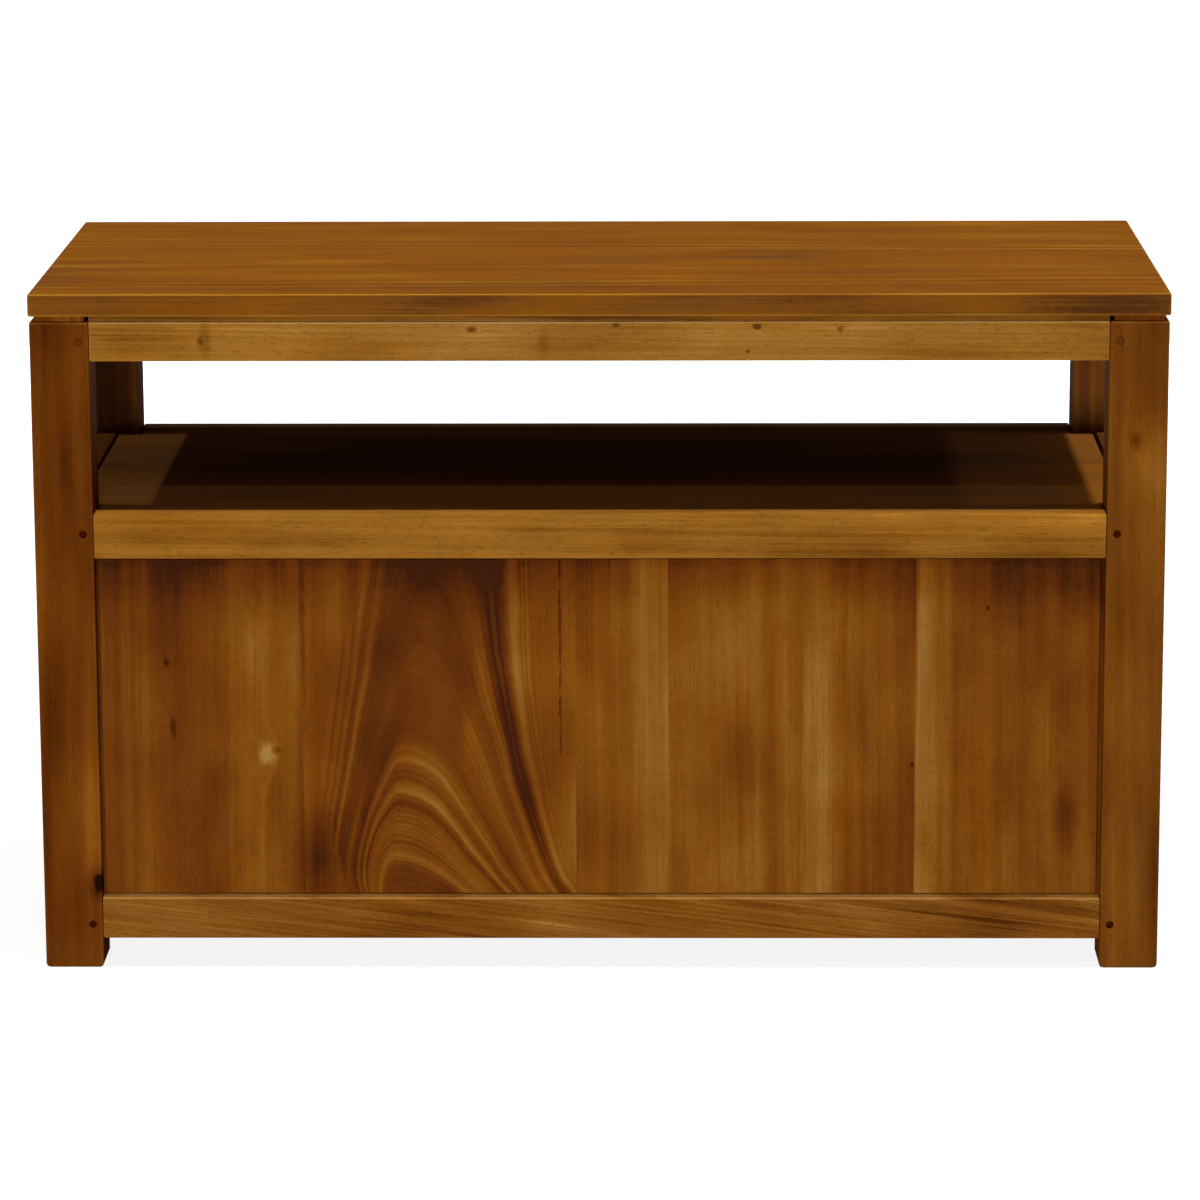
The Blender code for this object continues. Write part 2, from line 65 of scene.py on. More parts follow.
# Figure that all the woods share, with sizes across and along the grain
SEED_SHIFT = (0.37, 0.53, 7.1)  # how far a seed of 1 moves a board to other wood
WANDER_SIZE = (80 * MM, 450 * MM)
FIBRE_LENGTH = 120 * MM
RIPPLE_SIZE = (8 * MM, 3.5 * MM)
STREAK_LENGTH = 220 * MM
STREAK_RANGE = (0.08, 0.26)  # noise at which a dark streak starts and is full
RING_ROUGHNESS = 0.6

# Knots, in their own radii, and their ragged outlines
KNOT_RANGE = (0.3, 1.7)  # from its full tone to none
SWELL = 2.2
SWELL_REACH = 4.0
RAGGED_SIZE = (5 * MM, 9 * MM)
RAGGED_DEPTH = 3.6 * MM

# Edges: lean of a worn arris and of a narrow edge, and the soft share of a seam
ARRIS_RANGE = (0.80, 0.99)
EDGE_LEAN = 0.7
SEAM_SOFT = 0.3

# Boards: an arris turns by more than SHARP radians, and a face that leans more than FLAT is rounded
SHARP = 0.5
FLAT = 0.999
EASE_SEGMENTS = 3
TOUCH = 1e-6

# Stain and lacquer
PORE_RANGE = (0.08, 0.22)  # noise at which a pore starts and is full
PORE_ROUGHNESS = 0.15
PORE_SINK = 0.5
TONE_ROUGHNESS = -0.10  # pale wood takes more polish
TINT_SIZE = (30 * MM, 150 * MM)
TINT_DEPTH = 2.4
TINT = (-0.03, 0.05, 0.35)
BUMP_STRENGTH = 0.25
BUMP_HEIGHT = 0.3 * MM
COAT_ROUGHNESS = 0.35
COAT_IOR = 1.5


def linear(hex_colour: str) -> Colour:
    """Turns an sRGB hex colour to linear red, green, blue and alpha.

    Args:
        hex_colour: Colour as "#RRGGBB".

    Returns:
        The linear colour.
    """
    channels = [int(hex_colour[i : i + 2], 16) / 255 for i in (1, 3, 5)]
    made = [c / 12.92 if c <= 0.04045 else ((c + 0.055) / 1.055) ** 2.4 for c in channels]
    return (*made, 1.0)


def add_node(
    tree: Tree,
    kind: str,
    inputs: Optional[dict] = None,
    stops: Sequence[tuple[float, Colour]] = (),
    **settings: object,
) -> Optional[Socket]:
    """Adds one shader node with its settings and links.

    Args:
        tree: Tree that takes the node.
        kind: Blender's name for the kind of node, less "ShaderNode".
        inputs: Sockets to link, or plain values to set, by an input's name or place.
        stops: Places and colours of a colour ramp.
        settings: Properties of the node itself.

    Returns:
        The node's first output, if it has one.
    """
    node = tree.nodes.new(f"ShaderNode{kind}")
    for name, value in settings.items():
        setattr(node, name, value)
    for key, value in (inputs or {}).items():
        if isinstance(value, Socket):
            tree.links.new(value, node.inputs[key])
        else:
            node.inputs[key].default_value = value
    for i, (place, colour) in enumerate(stops):
        elements = node.color_ramp.elements
        element = elements[0] if i == 0 else elements.new(place)
        element.position = place
        element.color = colour
        if i == 0:
            elements.remove(elements[1])
    return node.outputs[0] if node.outputs else None


def stretched(tree: Tree, place: Socket, size: Size, depth: float, detail: float = 2.0) -> Socket:
    """Makes noise that is drawn out along the grain.

    Args:
        tree: Tree that takes it.
        place: Place in the board, the grain last.
        size: Its size across and along the grain.
        depth: How far it swings in all, about zero.
        detail: How many finer layers it has.

    Returns:
        The noise.
    """
    width, length = size
    scale = (1 / width, 1 / width, 1 / length)
    scaled = add_node(tree, "VectorMath", {0: place, 1: scale}, operation="MULTIPLY")
    noise = add_node(tree, "TexNoise", {"Vector": scaled, "Scale": 1.0, "Detail": detail})
    return add_node(tree, "Math", {0: noise, 1: depth, 2: -depth / 2}, operation="MULTIPLY_ADD")


def read_off(tree: Tree, value: Socket, stops: Stops) -> Socket:
    """Reads a tone off a row of stops.

    Args:
        tree: Tree that takes the row.
        value: What is looked up.
        stops: Values and their tones, in rising order.

    Returns:
        The tone.
    """
    first, last = stops[0][0], stops[-1][0]
    share = add_node(tree, "MapRange", {"Value": value, "From Min": first, "From Max": last})
    row = [((x - first) / (last - first), (t, t, t, 1.0)) for x, t in stops]
    return add_node(tree, "ValToRGB", {"Fac": share}, stops=row)


class Grain(Enum):
    """How a board lies: its axes across the face, through its thickness and along the grain."""

    SLAB = "YZX"
    LONG_RAIL = "ZYX"
    SHORT_RAIL = "ZXY"
    LONG_PANEL = "XYZ"
    SHORT_PANEL = "YXZ"


@dataclass(frozen=True)
class KnotOrPaintedLight:
    """A knot, speck, gum line or stain in the face of a board, or a patch of painted light or shade, in
    metres.

    It lies at a place across and along the grain, is stretched along the grain, and darkens the wood
    by a share of its shades, or pales it where that is below zero. Rings swell round a knot that turns.
    """

    across: float
    along: float
    radius: float
    stretch: float = 1.3
    dark: float = 0.8
    turns: bool = False

    def distance(self, tree: Tree, board: Board, ragged: Socket) -> Socket:
        """Measures the distance from the knot, in its own radii.

        Args:
            tree: Tree that takes it.
            board: Place across, through and along the board.
            ragged: How far its outline strays.

        Returns:
            The distance.
        """
        face = add_node(tree, "CombineXYZ", {0: board[0], 2: board[2]})
        middle = (self.across, 0.0, self.along)
        face = add_node(tree, "VectorMath", {0: face, 1: middle}, operation="SUBTRACT")
        scale = (1 / self.radius, 1.0, 1 / (self.radius * self.stretch))
        face = add_node(tree, "VectorMath", {0: face, 1: scale}, operation="MULTIPLY")
        far = add_node(tree, "VectorMath", {0: face}, operation="LENGTH").node.outputs["Value"]
        return add_node(tree, "Math", {0: ragged, 1: 1 / self.radius, 2: far}, operation="MULTIPLY_ADD")


@dataclass(frozen=True)
class SeamOrPaintedLight:
    """A straight soft-edged line: a glue line, a worn edge, a painted highlight along an arris, or painted
    shade in a recess, a groove or under a rail.

    It runs along the grain at a place across it, or the other way about, and pales if dark is below zero.
    """

    place: float
    half_width: float
    dark: float
    crosswise: bool = False

    def tone(self, tree: Tree, board: Board, tone: Socket) -> Socket:
        """Draws the line over a tone.

        Args:
            tree: Tree that takes it.
            board: Place across, through and along the board.
            tone: Tone of the board.

        Returns:
            The tone with the line.
        """
        way = board[2] if self.crosswise else board[0]
        off = add_node(tree, "Math", {0: way, 1: self.place}, operation="SUBTRACT")
        off = add_node(tree, "Math", {0: off}, operation="ABSOLUTE")
        line = add_node(
            tree,
            "MapRange",
            {
                "Value": off,
                "From Min": (1 - SEAM_SOFT) * self.half_width,
                "From Max": (1 + SEAM_SOFT) * self.half_width,
                "To Min": -self.dark,
                "To Max": 0.0,
            },
            interpolation_type="SMOOTHSTEP",
        )
        return add_node(tree, "Math", {0: tone, 1: line}, operation="ADD")


@dataclass(frozen=True)
class Flame:
    """A flat-sawn flame: nested arches on one foot, in metres.

    A ring's squared radius is the squared distance from a leaning axis plus a rise that slows down
    along the grain. The arches are narrower on their left, with rings of their own, and the heart above
    them, which lies nearly along one ring, is plain.
    """

    low: float
    high: float
    foot: float
    rings: Stops
    left_rings: Stops
    left_edge: Stops
    axis: float = -0.192
    lean: float = 0.125
    kick: float = 0.016
    kick_length: float = 0.0275
    rise: float = 0.0199
    rise_length: float = 0.208
    left: float = 0.373
    left_gain: float = 0.294
    left_start: float = 2.0 * MM
    left_full: float = -10.0 * MM
    stray: float = 9.0 * MM
    stray_size: Size = (35.0 * MM, 110.0 * MM)
    fine: float = 2.0 * MM
    fine_depth: float = 0.5
    heart_start: float = 0.104
    heart_soft: float = 8.0 * MM
    heart_width: float = 0.015
    heart_left: float = 1.35
    heart_tone: float = 0.17
    heart_share: float = 0.72
    edge: float = 0.164
    edge_soft: float = 0.010

    def tone(self, tree: Tree, board: Board, place: Socket, plain: Socket) -> Socket:
        """Puts the flame on its own board in the place of the plain streaks.

        Args:
            tree: Tree that takes it.
            board: Place across, through and along the board.
            place: The same place moved by the board's seed, for noise.
            plain: Tone of the plain streaks.

        Returns:
            The tone.
        """
        height = add_node(tree, "Math", {0: board[2], 1: self.foot}, operation="SUBTRACT")
        height = add_node(tree, "Math", {0: height, 1: 0.0}, operation="MAXIMUM")
        stray = stretched(tree, place, self.stray_size, self.stray)
        across = add_node(tree, "Math", {0: board[0], 1: stray}, operation="ADD")
        right = self.off_axis(tree, across, height)
        narrow = add_node(
            tree, "Math", {0: height, 1: -self.left_gain, 2: -self.left}, operation="MULTIPLY_ADD"
        )
        left = add_node(tree, "Math", {0: right, 1: narrow}, operation="DIVIDE")
        aside = add_node(tree, "Math", {0: right, 1: left}, operation="MAXIMUM")
        climb = add_node(tree, "Math", {0: height, 1: 1 / self.rise_length}, operation="MULTIPLY")
        climb = add_node(tree, "Math", {0: climb}, operation="TANH")
        climb = add_node(tree, "Math", {0: climb, 1: self.rise}, operation="MULTIPLY")
        ring = add_node(tree, "Math", {0: aside, 1: aside, 2: climb}, operation="MULTIPLY_ADD")
        ring = add_node(tree, "Math", {0: ring}, operation="SQRT")
        on_left = add_node(
            tree,
            "MapRange",
            {
                "Value": right,
                "From Min": self.left_full,
                "From Max": self.left_start,
                "To Min": 1.0,
                "To Max": 0.0,
            },
        )
        made = self.arches(tree, ring, on_left)
        heart = self.heart(tree, ring, right, climb)
        made = add_node(tree, "Mix", {"Factor": heart, "A": made, "B": self.heart_tone}, data_type="FLOAT")
        inside = self.inside(tree, ring, on_left, height)
        for limit, operation in ((self.low, "GREATER_THAN"), (self.high, "LESS_THAN")):
            on_board = add_node(tree, "Math", {0: board[0], 1: limit}, operation=operation)
            inside = add_node(tree, "Math", {0: inside, 1: on_board}, operation="MULTIPLY")
        return add_node(tree, "Mix", {"Factor": inside, "A": plain, "B": made}, data_type="FLOAT")

    def off_axis(self, tree: Tree, across: Socket, height: Socket) -> Socket:
        """Measures how far a place lies to the right of the axis, which leans and kicks out at its foot.

        Args:
            tree: Tree that takes it.
            across: Place across the board.
            height: Height over the foot.

        Returns:
            The distance, below zero on the left.
        """
        kick = add_node(tree, "Math", {0: height, 1: -1 / self.kick_length}, operation="MULTIPLY")
        kick = add_node(tree, "Math", {0: kick}, operation="EXPONENT")
        axis = add_node(tree, "Math", {0: height, 1: self.lean, 2: self.axis}, operation="MULTIPLY_ADD")
        axis = add_node(tree, "Math", {0: kick, 1: self.kick, 2: axis}, operation="MULTIPLY_ADD")
        return add_node(tree, "Math", {0: across, 1: axis}, operation="SUBTRACT")

    def arches(self, tree: Tree, ring: Socket, on_left: Socket) -> Socket:
        """Draws the arches, with finer lines between them.

        Args:
            tree: Tree that takes them.
            ring: Radius of the ring at a place.
            on_left: 1 on the left of the axis and 0 on its right.

        Returns:
            The tone.
        """
        limbs = [read_off(tree, ring, stops) for stops in (self.rings, self.left_rings)]
        made = add_node(tree, "Mix", {"Factor": on_left, "A": limbs[0], "B": limbs[1]}, data_type="FLOAT")
        fine = add_node(tree, "Math", {0: ring, 1: 1 / self.fine}, operation="MULTIPLY")
        fine = add_node(tree, "TexNoise", {"W": fine, "Scale": 1.0}, noise_dimensions="1D")
        fine = add_node(
            tree, "Math", {0: fine, 1: self.fine_depth, 2: -self.fine_depth / 2}, operation="MULTIPLY_ADD"
        )
        return add_node(tree, "Math", {0: made, 1: fine}, operation="ADD")

    def heart(self, tree: Tree, ring: Socket, right: Socket, climb: Socket) -> Socket:
        """Finds the plain heart above the arches.

        Args:
            tree: Tree that takes it.
            ring: Radius of the ring at a place.
            right: How far the place lies to the right of the axis.
            climb: Squared radius of the ring that crosses the axis at the place's height.

        Returns:
            The heart's share at a place.
        """
        above = add_node(
            tree,
            "MapRange",
            {"Value": ring, "From Min": self.heart_start, "From Max": self.heart_start + self.heart_soft},
            interpolation_type="SMOOTHSTEP",
        )
        width = add_node(tree, "Math", {0: right, 1: -self.heart_left}, operation="MULTIPLY")
        width = add_node(tree, "Math", {0: width, 1: right}, operation="MAXIMUM")
        even = add_node(tree, "Math", {0: width, 1: width, 2: climb}, operation="MULTIPLY_ADD")
        even = add_node(tree, "Math", {0: even}, operation="SQRT")
        crest = add_node(tree, "Math", {0: climb}, operation="SQRT")
        beyond = add_node(tree, "Math", {0: even, 1: crest}, operation="SUBTRACT")
        within = add_node(
            tree,
            "MapRange",
            {
                "Value": beyond,
                "From Min": self.heart_width / 2,
                "From Max": self.heart_width,
                "To Min": self.heart_share,
                "To Max": 0.0,
            },
            interpolation_type="SMOOTHSTEP",
        )
        return add_node(tree, "Math", {0: above, 1: within}, operation="MULTIPLY")

    def inside(self, tree: Tree, ring: Socket, on_left: Socket, height: Socket) -> Socket:
        """Finds the flame's outline, which on its left changes with its height.

        Args:
            tree: Tree that takes it.
            ring: Radius of the ring at a place.
            on_left: 1 on the left of the axis and 0 on its right.
            height: Height over the foot.

        Returns:
            The flame's share at a place.
        """
        edge = read_off(tree, height, self.left_edge)
        edge = add_node(tree, "Mix", {"Factor": on_left, "A": self.edge, "B": edge}, data_type="FLOAT")
        beyond = add_node(tree, "Math", {0: ring, 1: edge}, operation="SUBTRACT")
        return add_node(
            tree,
            "MapRange",
            {
                "Value": beyond,
                "From Min": -self.edge_soft,
                "From Max": self.edge_soft,
                "To Min": 1.0,
                "To Max": 0.0,
            },
            interpolation_type="SMOOTHSTEP",
        )


@dataclass(frozen=True)
class LacqueredWood:
    """Stained tropical hardwood, planed, sanded and rubbed with satin lacquer.

    The eye gets soft streaks along the grain, short dark pores, paler worn arrises and a low sheen.
    Sizes are in metres. Tones run from 0, the darkest shade, to 1, the palest.
    """

    name: str
    shades: tuple[str, ...]
    level: float = 0.5
    ring: float = 9.0 * MM
    ring_depth: float = 0.7
    ring_detail: float = 2.0
    fibre: float = 1.6 * MM
    fibre_depth: float = 0.45
    mottle: float = 55.0 * MM
    mottle_length: float = 260.0 * MM
    mottle_depth: float = 0.7
    ripple_depth: float = 0.14
    streak: float = 5.0 * MM
    streak_depth: float = 0.0
    wander: float = 10.0 * MM
    slant: float = 0.0
    pith: float = 0.0
    pith_depth: float = 60.0 * MM
    taper: float = 0.020
    pore: float = 1.1 * MM
    pore_length: float = 14.0 * MM
    pore_depth: float = 0.20
    board_depth: float = 0.0
    edge_shift: float = 0.0
    arris: float = 0.20
    roughness: float = 0.42
    coat: float = 0.03
    seams_and_painted_light: tuple[SeamOrPaintedLight, ...] = ()
    bands: Stops = ()
    flame: Optional[Flame] = None
    knots_and_painted_light: tuple[KnotOrPaintedLight, ...] = ()

    def material(self, grain: Grain) -> bpy.types.Material:
        """Builds the node tree of this wood for boards that lie one way.

        Args:
            grain: How the boards lie.

        Returns:
            The material.
        """
        material = bpy.data.materials.new(f"{self.name}_{grain.name.lower()}")
        material.use_nodes = True
        tree = material.node_tree
        tree.nodes.clear()
        where = add_node(tree, "TexCoord").node.outputs
        axes = add_node(tree, "SeparateXYZ", {0: where["Object"]}).node.outputs
        board = tuple(axes[axis] for axis in grain.value)

        # Every glued board carries a seed that moves it to other wood.
        across = add_node(tree, "Math", {0: board[2], 1: self.slant, 2: board[0]}, operation="MULTIPLY_ADD")
        place = add_node(tree, "CombineXYZ", {0: across, 1: board[1], 2: board[2]})
        seed = add_node(tree, "Attribute", attribute_name="board_seed").node.outputs["Fac"]
        place = add_node(tree, "VectorMath", {0: seed, 1: SEED_SHIFT, 2: place}, operation="MULTIPLY_ADD")
        wander = stretched(tree, place, WANDER_SIZE, self.wander)
        ragged = stretched(tree, place, RAGGED_SIZE, RAGGED_DEPTH)
        far = [knot_or_painted_light.distance(tree, board, ragged) for knot_or_painted_light in self.knots_and_painted_light]

        tone = self.ring_tone(tree, place, wander, far)
        if self.bands:
            tone = self.band_tone(tree, board, wander, tone)
        tone = add_node(tree, "Math", {0: seed, 1: self.board_depth, 2: tone}, operation="MULTIPLY_ADD")
        fibres = stretched(tree, place, (self.fibre, FIBRE_LENGTH), self.fibre_depth)
        tone = add_node(tree, "Math", {0: tone, 1: fibres}, operation="ADD")
        if self.flame:
            tone = self.flame.tone(tree, board, place, tone)
        mottle = stretched(tree, place, (self.mottle, self.mottle_length), self.mottle_depth)
        tone = add_node(tree, "Math", {0: tone, 1: mottle}, operation="ADD")
        ripple = stretched(tree, place, RIPPLE_SIZE, self.ripple_depth)
        tone = add_node(tree, "Math", {0: tone, 1: ripple}, operation="ADD")
        if self.streak_depth:
            tone = self.streak_tone(tree, place, tone)
        tone = self.knot_and_painted_light_tone(tree, far, tone)
        tone = self.edge_tone(tree, where["Normal"], grain, tone)
        for seam_or_painted_light in self.seams_and_painted_light:
            tone = seam_or_painted_light.tone(tree, board, tone)
        self.lacquer(tree, place, tone)
        return material

    def ring_tone(self, tree: Tree, place: Socket, wander: Socket, far: list[Socket]) -> Socket:
        """Draws the year rings of a plain board, which swell round its turning knots.

        Args:
            tree: Tree that takes them.
            place: Place in the board, the grain last.
            wander: How far the grain strays sideways.
            far: Distance from each knot, in its own radii.

        Returns:
            The tone.
        """
        spot = add_node(tree, "SeparateXYZ", {0: place}).node.outputs
        across = add_node(tree, "Math", {0: spot["X"], 1: wander}, operation="ADD")
        offset = add_node(tree, "Math", {0: across, 1: self.pith}, operation="SUBTRACT")
        radius = add_node(
            tree, "Math", {0: offset, 1: offset, 2: self.pith_depth**2}, operation="MULTIPLY_ADD"
        )
        radius = add_node(tree, "Math", {0: radius}, operation="SQRT")
        radius = add_node(tree, "Math", {0: spot["Z"], 1: self.taper, 2: radius}, operation="MULTIPLY_ADD")
        for knot_or_painted_light, distance in zip(self.knots_and_painted_light, far):
            if knot_or_painted_light.turns:
                swell = add_node(
                    tree,
                    "MapRange",
                    {
                        "Value": distance,
                        "From Max": SWELL_REACH,
                        "To Min": SWELL * knot_or_painted_light.radius,
                        "To Max": 0.0,
                    },
                    interpolation_type="SMOOTHSTEP",
                )
                radius = add_node(tree, "Math", {0: radius, 1: swell}, operation="ADD")
        ring = add_node(tree, "Math", {0: radius, 1: 1 / self.ring}, operation="MULTIPLY")
        ring = add_node(
            tree,
            "TexNoise",
            {"W": ring, "Scale": 1.0, "Detail": self.ring_detail, "Roughness": RING_ROUGHNESS},
            noise_dimensions="1D",
        )
        middle = self.level - self.ring_depth / 2
        return add_node(tree, "Math", {0: ring, 1: self.ring_depth, 2: middle}, operation="MULTIPLY_ADD")

    def band_tone(self, tree: Tree, board: Board, wander: Socket, tone: Socket) -> Socket:
        """Adds the broad pale and dark bands across glued boards, none of which crosses its joint.

        Args:
            tree: Tree that takes them.
            board: Place across, through and along the board.
            wander: How far the grain strays sideways.
            tone: Tone of the plain rings.

        Returns:
            The tone with the bands.
        """
        low = add_node(tree, "Attribute", attribute_name="board_low").node.outputs["Fac"]
        high = add_node(tree, "Attribute", attribute_name="board_high").node.outputs["Fac"]
        across = add_node(tree, "Math", {0: board[0], 1: wander}, operation="ADD")
        across = add_node(tree, "Math", {0: across, 1: low}, operation="MAXIMUM")
        across = add_node(tree, "Math", {0: across, 1: high}, operation="MINIMUM")
        band = read_off(tree, across, self.bands)
        tone = add_node(tree, "Math", {0: tone, 1: self.level}, operation="SUBTRACT")
        return add_node(tree, "Math", {0: tone, 1: band}, operation="ADD")

    def streak_tone(self, tree: Tree, place: Socket, tone: Socket) -> Socket:
        """Adds long dark streaks.

        Args:
            tree: Tree that takes them.
            place: Place in the board, the grain last.
            tone: Tone of the board.

        Returns:
            The tone with the streaks.
        """
        streak = stretched(tree, place, (self.streak, STREAK_LENGTH), 1.0)
        start, full = STREAK_RANGE
        streak = add_node(
            tree,
            "MapRange",
            {"Value": streak, "From Min": start, "From Max": full, "To Max": -self.streak_depth},
        )
        return add_node(tree, "Math", {0: tone, 1: streak}, operation="ADD")

    def knot_and_painted_light_tone(self, tree: Tree, far: list[Socket], tone: Socket) -> Socket:
        """Darkens or pales the knots, and the patches of painted light and shade.

        Args:
            tree: Tree that takes them.
            far: Distance from each knot, in its own radii.
            tone: Tone of the board.

        Returns:
            The tone with the knots.
        """
        core, rim = KNOT_RANGE
        for knot_or_painted_light, distance in zip(self.knots_and_painted_light, far):
            mark = add_node(
                tree,
                "MapRange",
                {"Value": distance, "From Min": core, "From Max": rim, "To Min": -knot_or_painted_light.dark, "To Max": 0.0},
                interpolation_type="SMOOTHSTEP",
            )
            tone = add_node(tree, "Math", {0: tone, 1: mark}, operation="ADD")
        return tone

    def edge_tone(self, tree: Tree, normal: Socket, grain: Grain, tone: Socket) -> Socket:
        """Pales the worn arrises, which lean from every flat face, and shifts the narrow edges.

        Args:
            tree: Tree that takes it.
            normal: The way the surface faces.
            grain: How the board lies.
            tone: Tone of the board.

        Returns:
            The tone with its edges.
        """
        lean = add_node(tree, "VectorMath", {0: normal}, operation="ABSOLUTE")
        lean = add_node(tree, "SeparateXYZ", {0: lean}).node.outputs
        flat = add_node(tree, "Math", {0: lean[0], 1: lean[1]}, operation="MAXIMUM")
        flat = add_node(tree, "Math", {0: flat, 1: lean[2]}, operation="MAXIMUM")
        worn, plain = ARRIS_RANGE
        arris = add_node(
            tree,
            "MapRange",
            {"Value": flat, "From Min": worn, "From Max": plain, "To Min": self.arris, "To Max": 0.0},
        )
        tone = add_node(tree, "Math", {0: tone, 1: arris}, operation="ADD")
        if self.edge_shift:
            facing = lean[grain.value[1]]
            edge = add_node(
                tree,
                "MapRange",
                {"Value": facing, "From Max": EDGE_LEAN, "To Min": self.edge_shift, "To Max": 0.0},
            )
            tone = add_node(tree, "Math", {0: tone, 1: edge}, operation="ADD")
        return tone

    def lacquer(self, tree: Tree, place: Socket, tone: Socket) -> None:
        """Turns the tone to colour, cuts the pores and lays the lacquer over them.

        Args:
            tree: Tree that takes them.
            place: Place in the board, the grain last.
            tone: Tone of the board.
        """
        last = len(self.shades) - 1
        stops = [(i / last, linear(shade)) for i, shade in enumerate(self.shades)]
        colour = add_node(tree, "ValToRGB", {"Fac": tone}, stops=stops)
        # Real pores are 0.2 mm wide. They are drawn coarser, so that they show.
        pores = stretched(tree, place, (self.pore, self.pore_length), 1.0, detail=1.0)
        start, full = PORE_RANGE
        pores = add_node(
            tree,
            "MapRange",
            {"Value": pores, "From Min": start, "From Max": full},
            interpolation_type="SMOOTHSTEP",
        )
        shade = add_node(tree, "Math", {0: pores, 1: -self.pore_depth, 2: 1.0}, operation="MULTIPLY_ADD")
        colour = add_node(tree, "VectorMath", {0: colour, "Scale": shade}, operation="SCALE")
        # The stain took unevenly, so that patches look a little greyer and others a little redder.
        patch = stretched(tree, place, TINT_SIZE, TINT_DEPTH)
        tint = add_node(
            tree, "VectorMath", {0: patch, 1: TINT, 2: (1.0, 1.0, 1.0)}, operation="MULTIPLY_ADD"
        )
        colour = add_node(tree, "VectorMath", {0: colour, 1: tint}, operation="MULTIPLY")
        middle = self.roughness - TONE_ROUGHNESS / 2
        rough = add_node(tree, "Math", {0: tone, 1: TONE_ROUGHNESS, 2: middle}, operation="MULTIPLY_ADD")
        rough = add_node(tree, "Math", {0: pores, 1: PORE_ROUGHNESS, 2: rough}, operation="MULTIPLY_ADD")
        height = add_node(tree, "Math", {0: pores, 1: -PORE_SINK, 2: tone}, operation="MULTIPLY_ADD")
        bump = add_node(
            tree, "Bump", {"Strength": BUMP_STRENGTH, "Distance": BUMP_HEIGHT, "Height": height}
        )
        shader = add_node(
            tree,
            "BsdfPrincipled",
            {
                "Base Color": colour,
                "Roughness": rough,
                "Normal": bump,
                "Specular IOR Level": 0.0,
                "Coat Weight": self.coat,
                "Coat Roughness": COAT_ROUGHNESS,
                "Coat IOR": COAT_IOR,
            },
        )
        add_node(tree, "OutputMaterial", {"Surface": shader})


# Red-brown heartwood of the posts: broad soft blotches, fine fibres and hardly any sheen.
POST_WOOD = LacqueredWood(
    "red_brown_hardwood",
    ("#3C1A04", "#532706", "#63320A", "#733F0D", "#865215"),
    ring_depth=0.70,
    fibre_depth=0.50,
    mottle_depth=1.5,
    ripple_depth=0.18,
    wander=16 * MM,
    arris=0.12,
    coat=0.008,
)
# The front posts are a browner copy of the post wood, a shade darker: painted shade, as they are seen in
# the shade of the niche.
FRONT_POST_PAINTED_SHADE_WOOD = replace(
    POST_WOOD,
    name="front_post_painted_shade_hardwood",
    shades=("#3A1E0C", "#502C12", "#603716", "#704316", "#83541A"),
    level=0.36,
)
# The left rear post is smooth, with a pale worn arris, long soft stains and one burnt knot; it is darker
# near its top and paler low down.
LEFT_POST_WOOD = replace(
    POST_WOOD,
    name="left_post_hardwood",
    shades=("#1E0D04", "#532706", "#63320A", "#733F0D", "#865215"),
    ring_depth=0.32,
    fibre_depth=0.22,
    mottle_depth=1.9,
    arris=0.30,
    seams_and_painted_light=(SeamOrPaintedLight(0.5882, 1.0 * MM, -0.30, crosswise=True),),
    knots_and_painted_light=(
        KnotOrPaintedLight(-0.4495, 0.080, 3.6 * MM, 1.6, 1.0),
        KnotOrPaintedLight(-0.4500, 0.078, 9.0 * MM, 1.5, 0.45),
        KnotOrPaintedLight(-0.4580, 0.480, 5.5 * MM, 20.0, -0.28),
        KnotOrPaintedLight(-0.4740, 0.590, 24.0 * MM, 1.0, 0.14),
        KnotOrPaintedLight(-0.4700, 0.370, 14.0 * MM, 2.5, 0.12),
        KnotOrPaintedLight(-0.4850, 0.235, 18.0 * MM, 2.5, 0.06),
        KnotOrPaintedLight(-0.4680, 0.125, 30.0 * MM, 2.0, -0.32),
        KnotOrPaintedLight(-0.4600, 0.025, 20.0 * MM, 1.5, -0.12),
    ),
)
# The right rear post is more golden, and its rings turn round one soft knot.
RIGHT_POST_WOOD = replace(
    POST_WOOD,
    name="right_post_hardwood",
    shades=("#3E1E05", "#572D08", "#693A0E", "#784713", "#8A5A1C"),
    level=0.51,
    ring_depth=0.36,
    fibre_depth=0.20,
    seams_and_painted_light=(SeamOrPaintedLight(0.5882, 1.0 * MM, -0.30, crosswise=True),),
    knots_and_painted_light=(
        KnotOrPaintedLight(0.4717, 0.483, 4.5 * MM, 1.6, 0.36, turns=True),
        KnotOrPaintedLight(0.4870, 0.470, 18.0 * MM, 1.8, -0.24),
        KnotOrPaintedLight(0.4600, 0.385, 20.0 * MM, 3.0, 0.26),
        KnotOrPaintedLight(0.4740, 0.020, 30.0 * MM, 2.0, -0.05),
    ),
)
# Golden sapwood of the rails: straight even lines and short dark pores.
RAIL_WOOD = LacqueredWood(
    "golden_hardwood",
    ("#5A340E", "#784A14", "#8B5C1E", "#98692B", "#AC8044"),
    ring_depth=0.50,
    fibre_depth=0.52,
    mottle_length=130.0 * MM,
    mottle_depth=1.0,
    wander=5 * MM,
    pore_length=7.0 * MM,
    pore_depth=0.26,
)
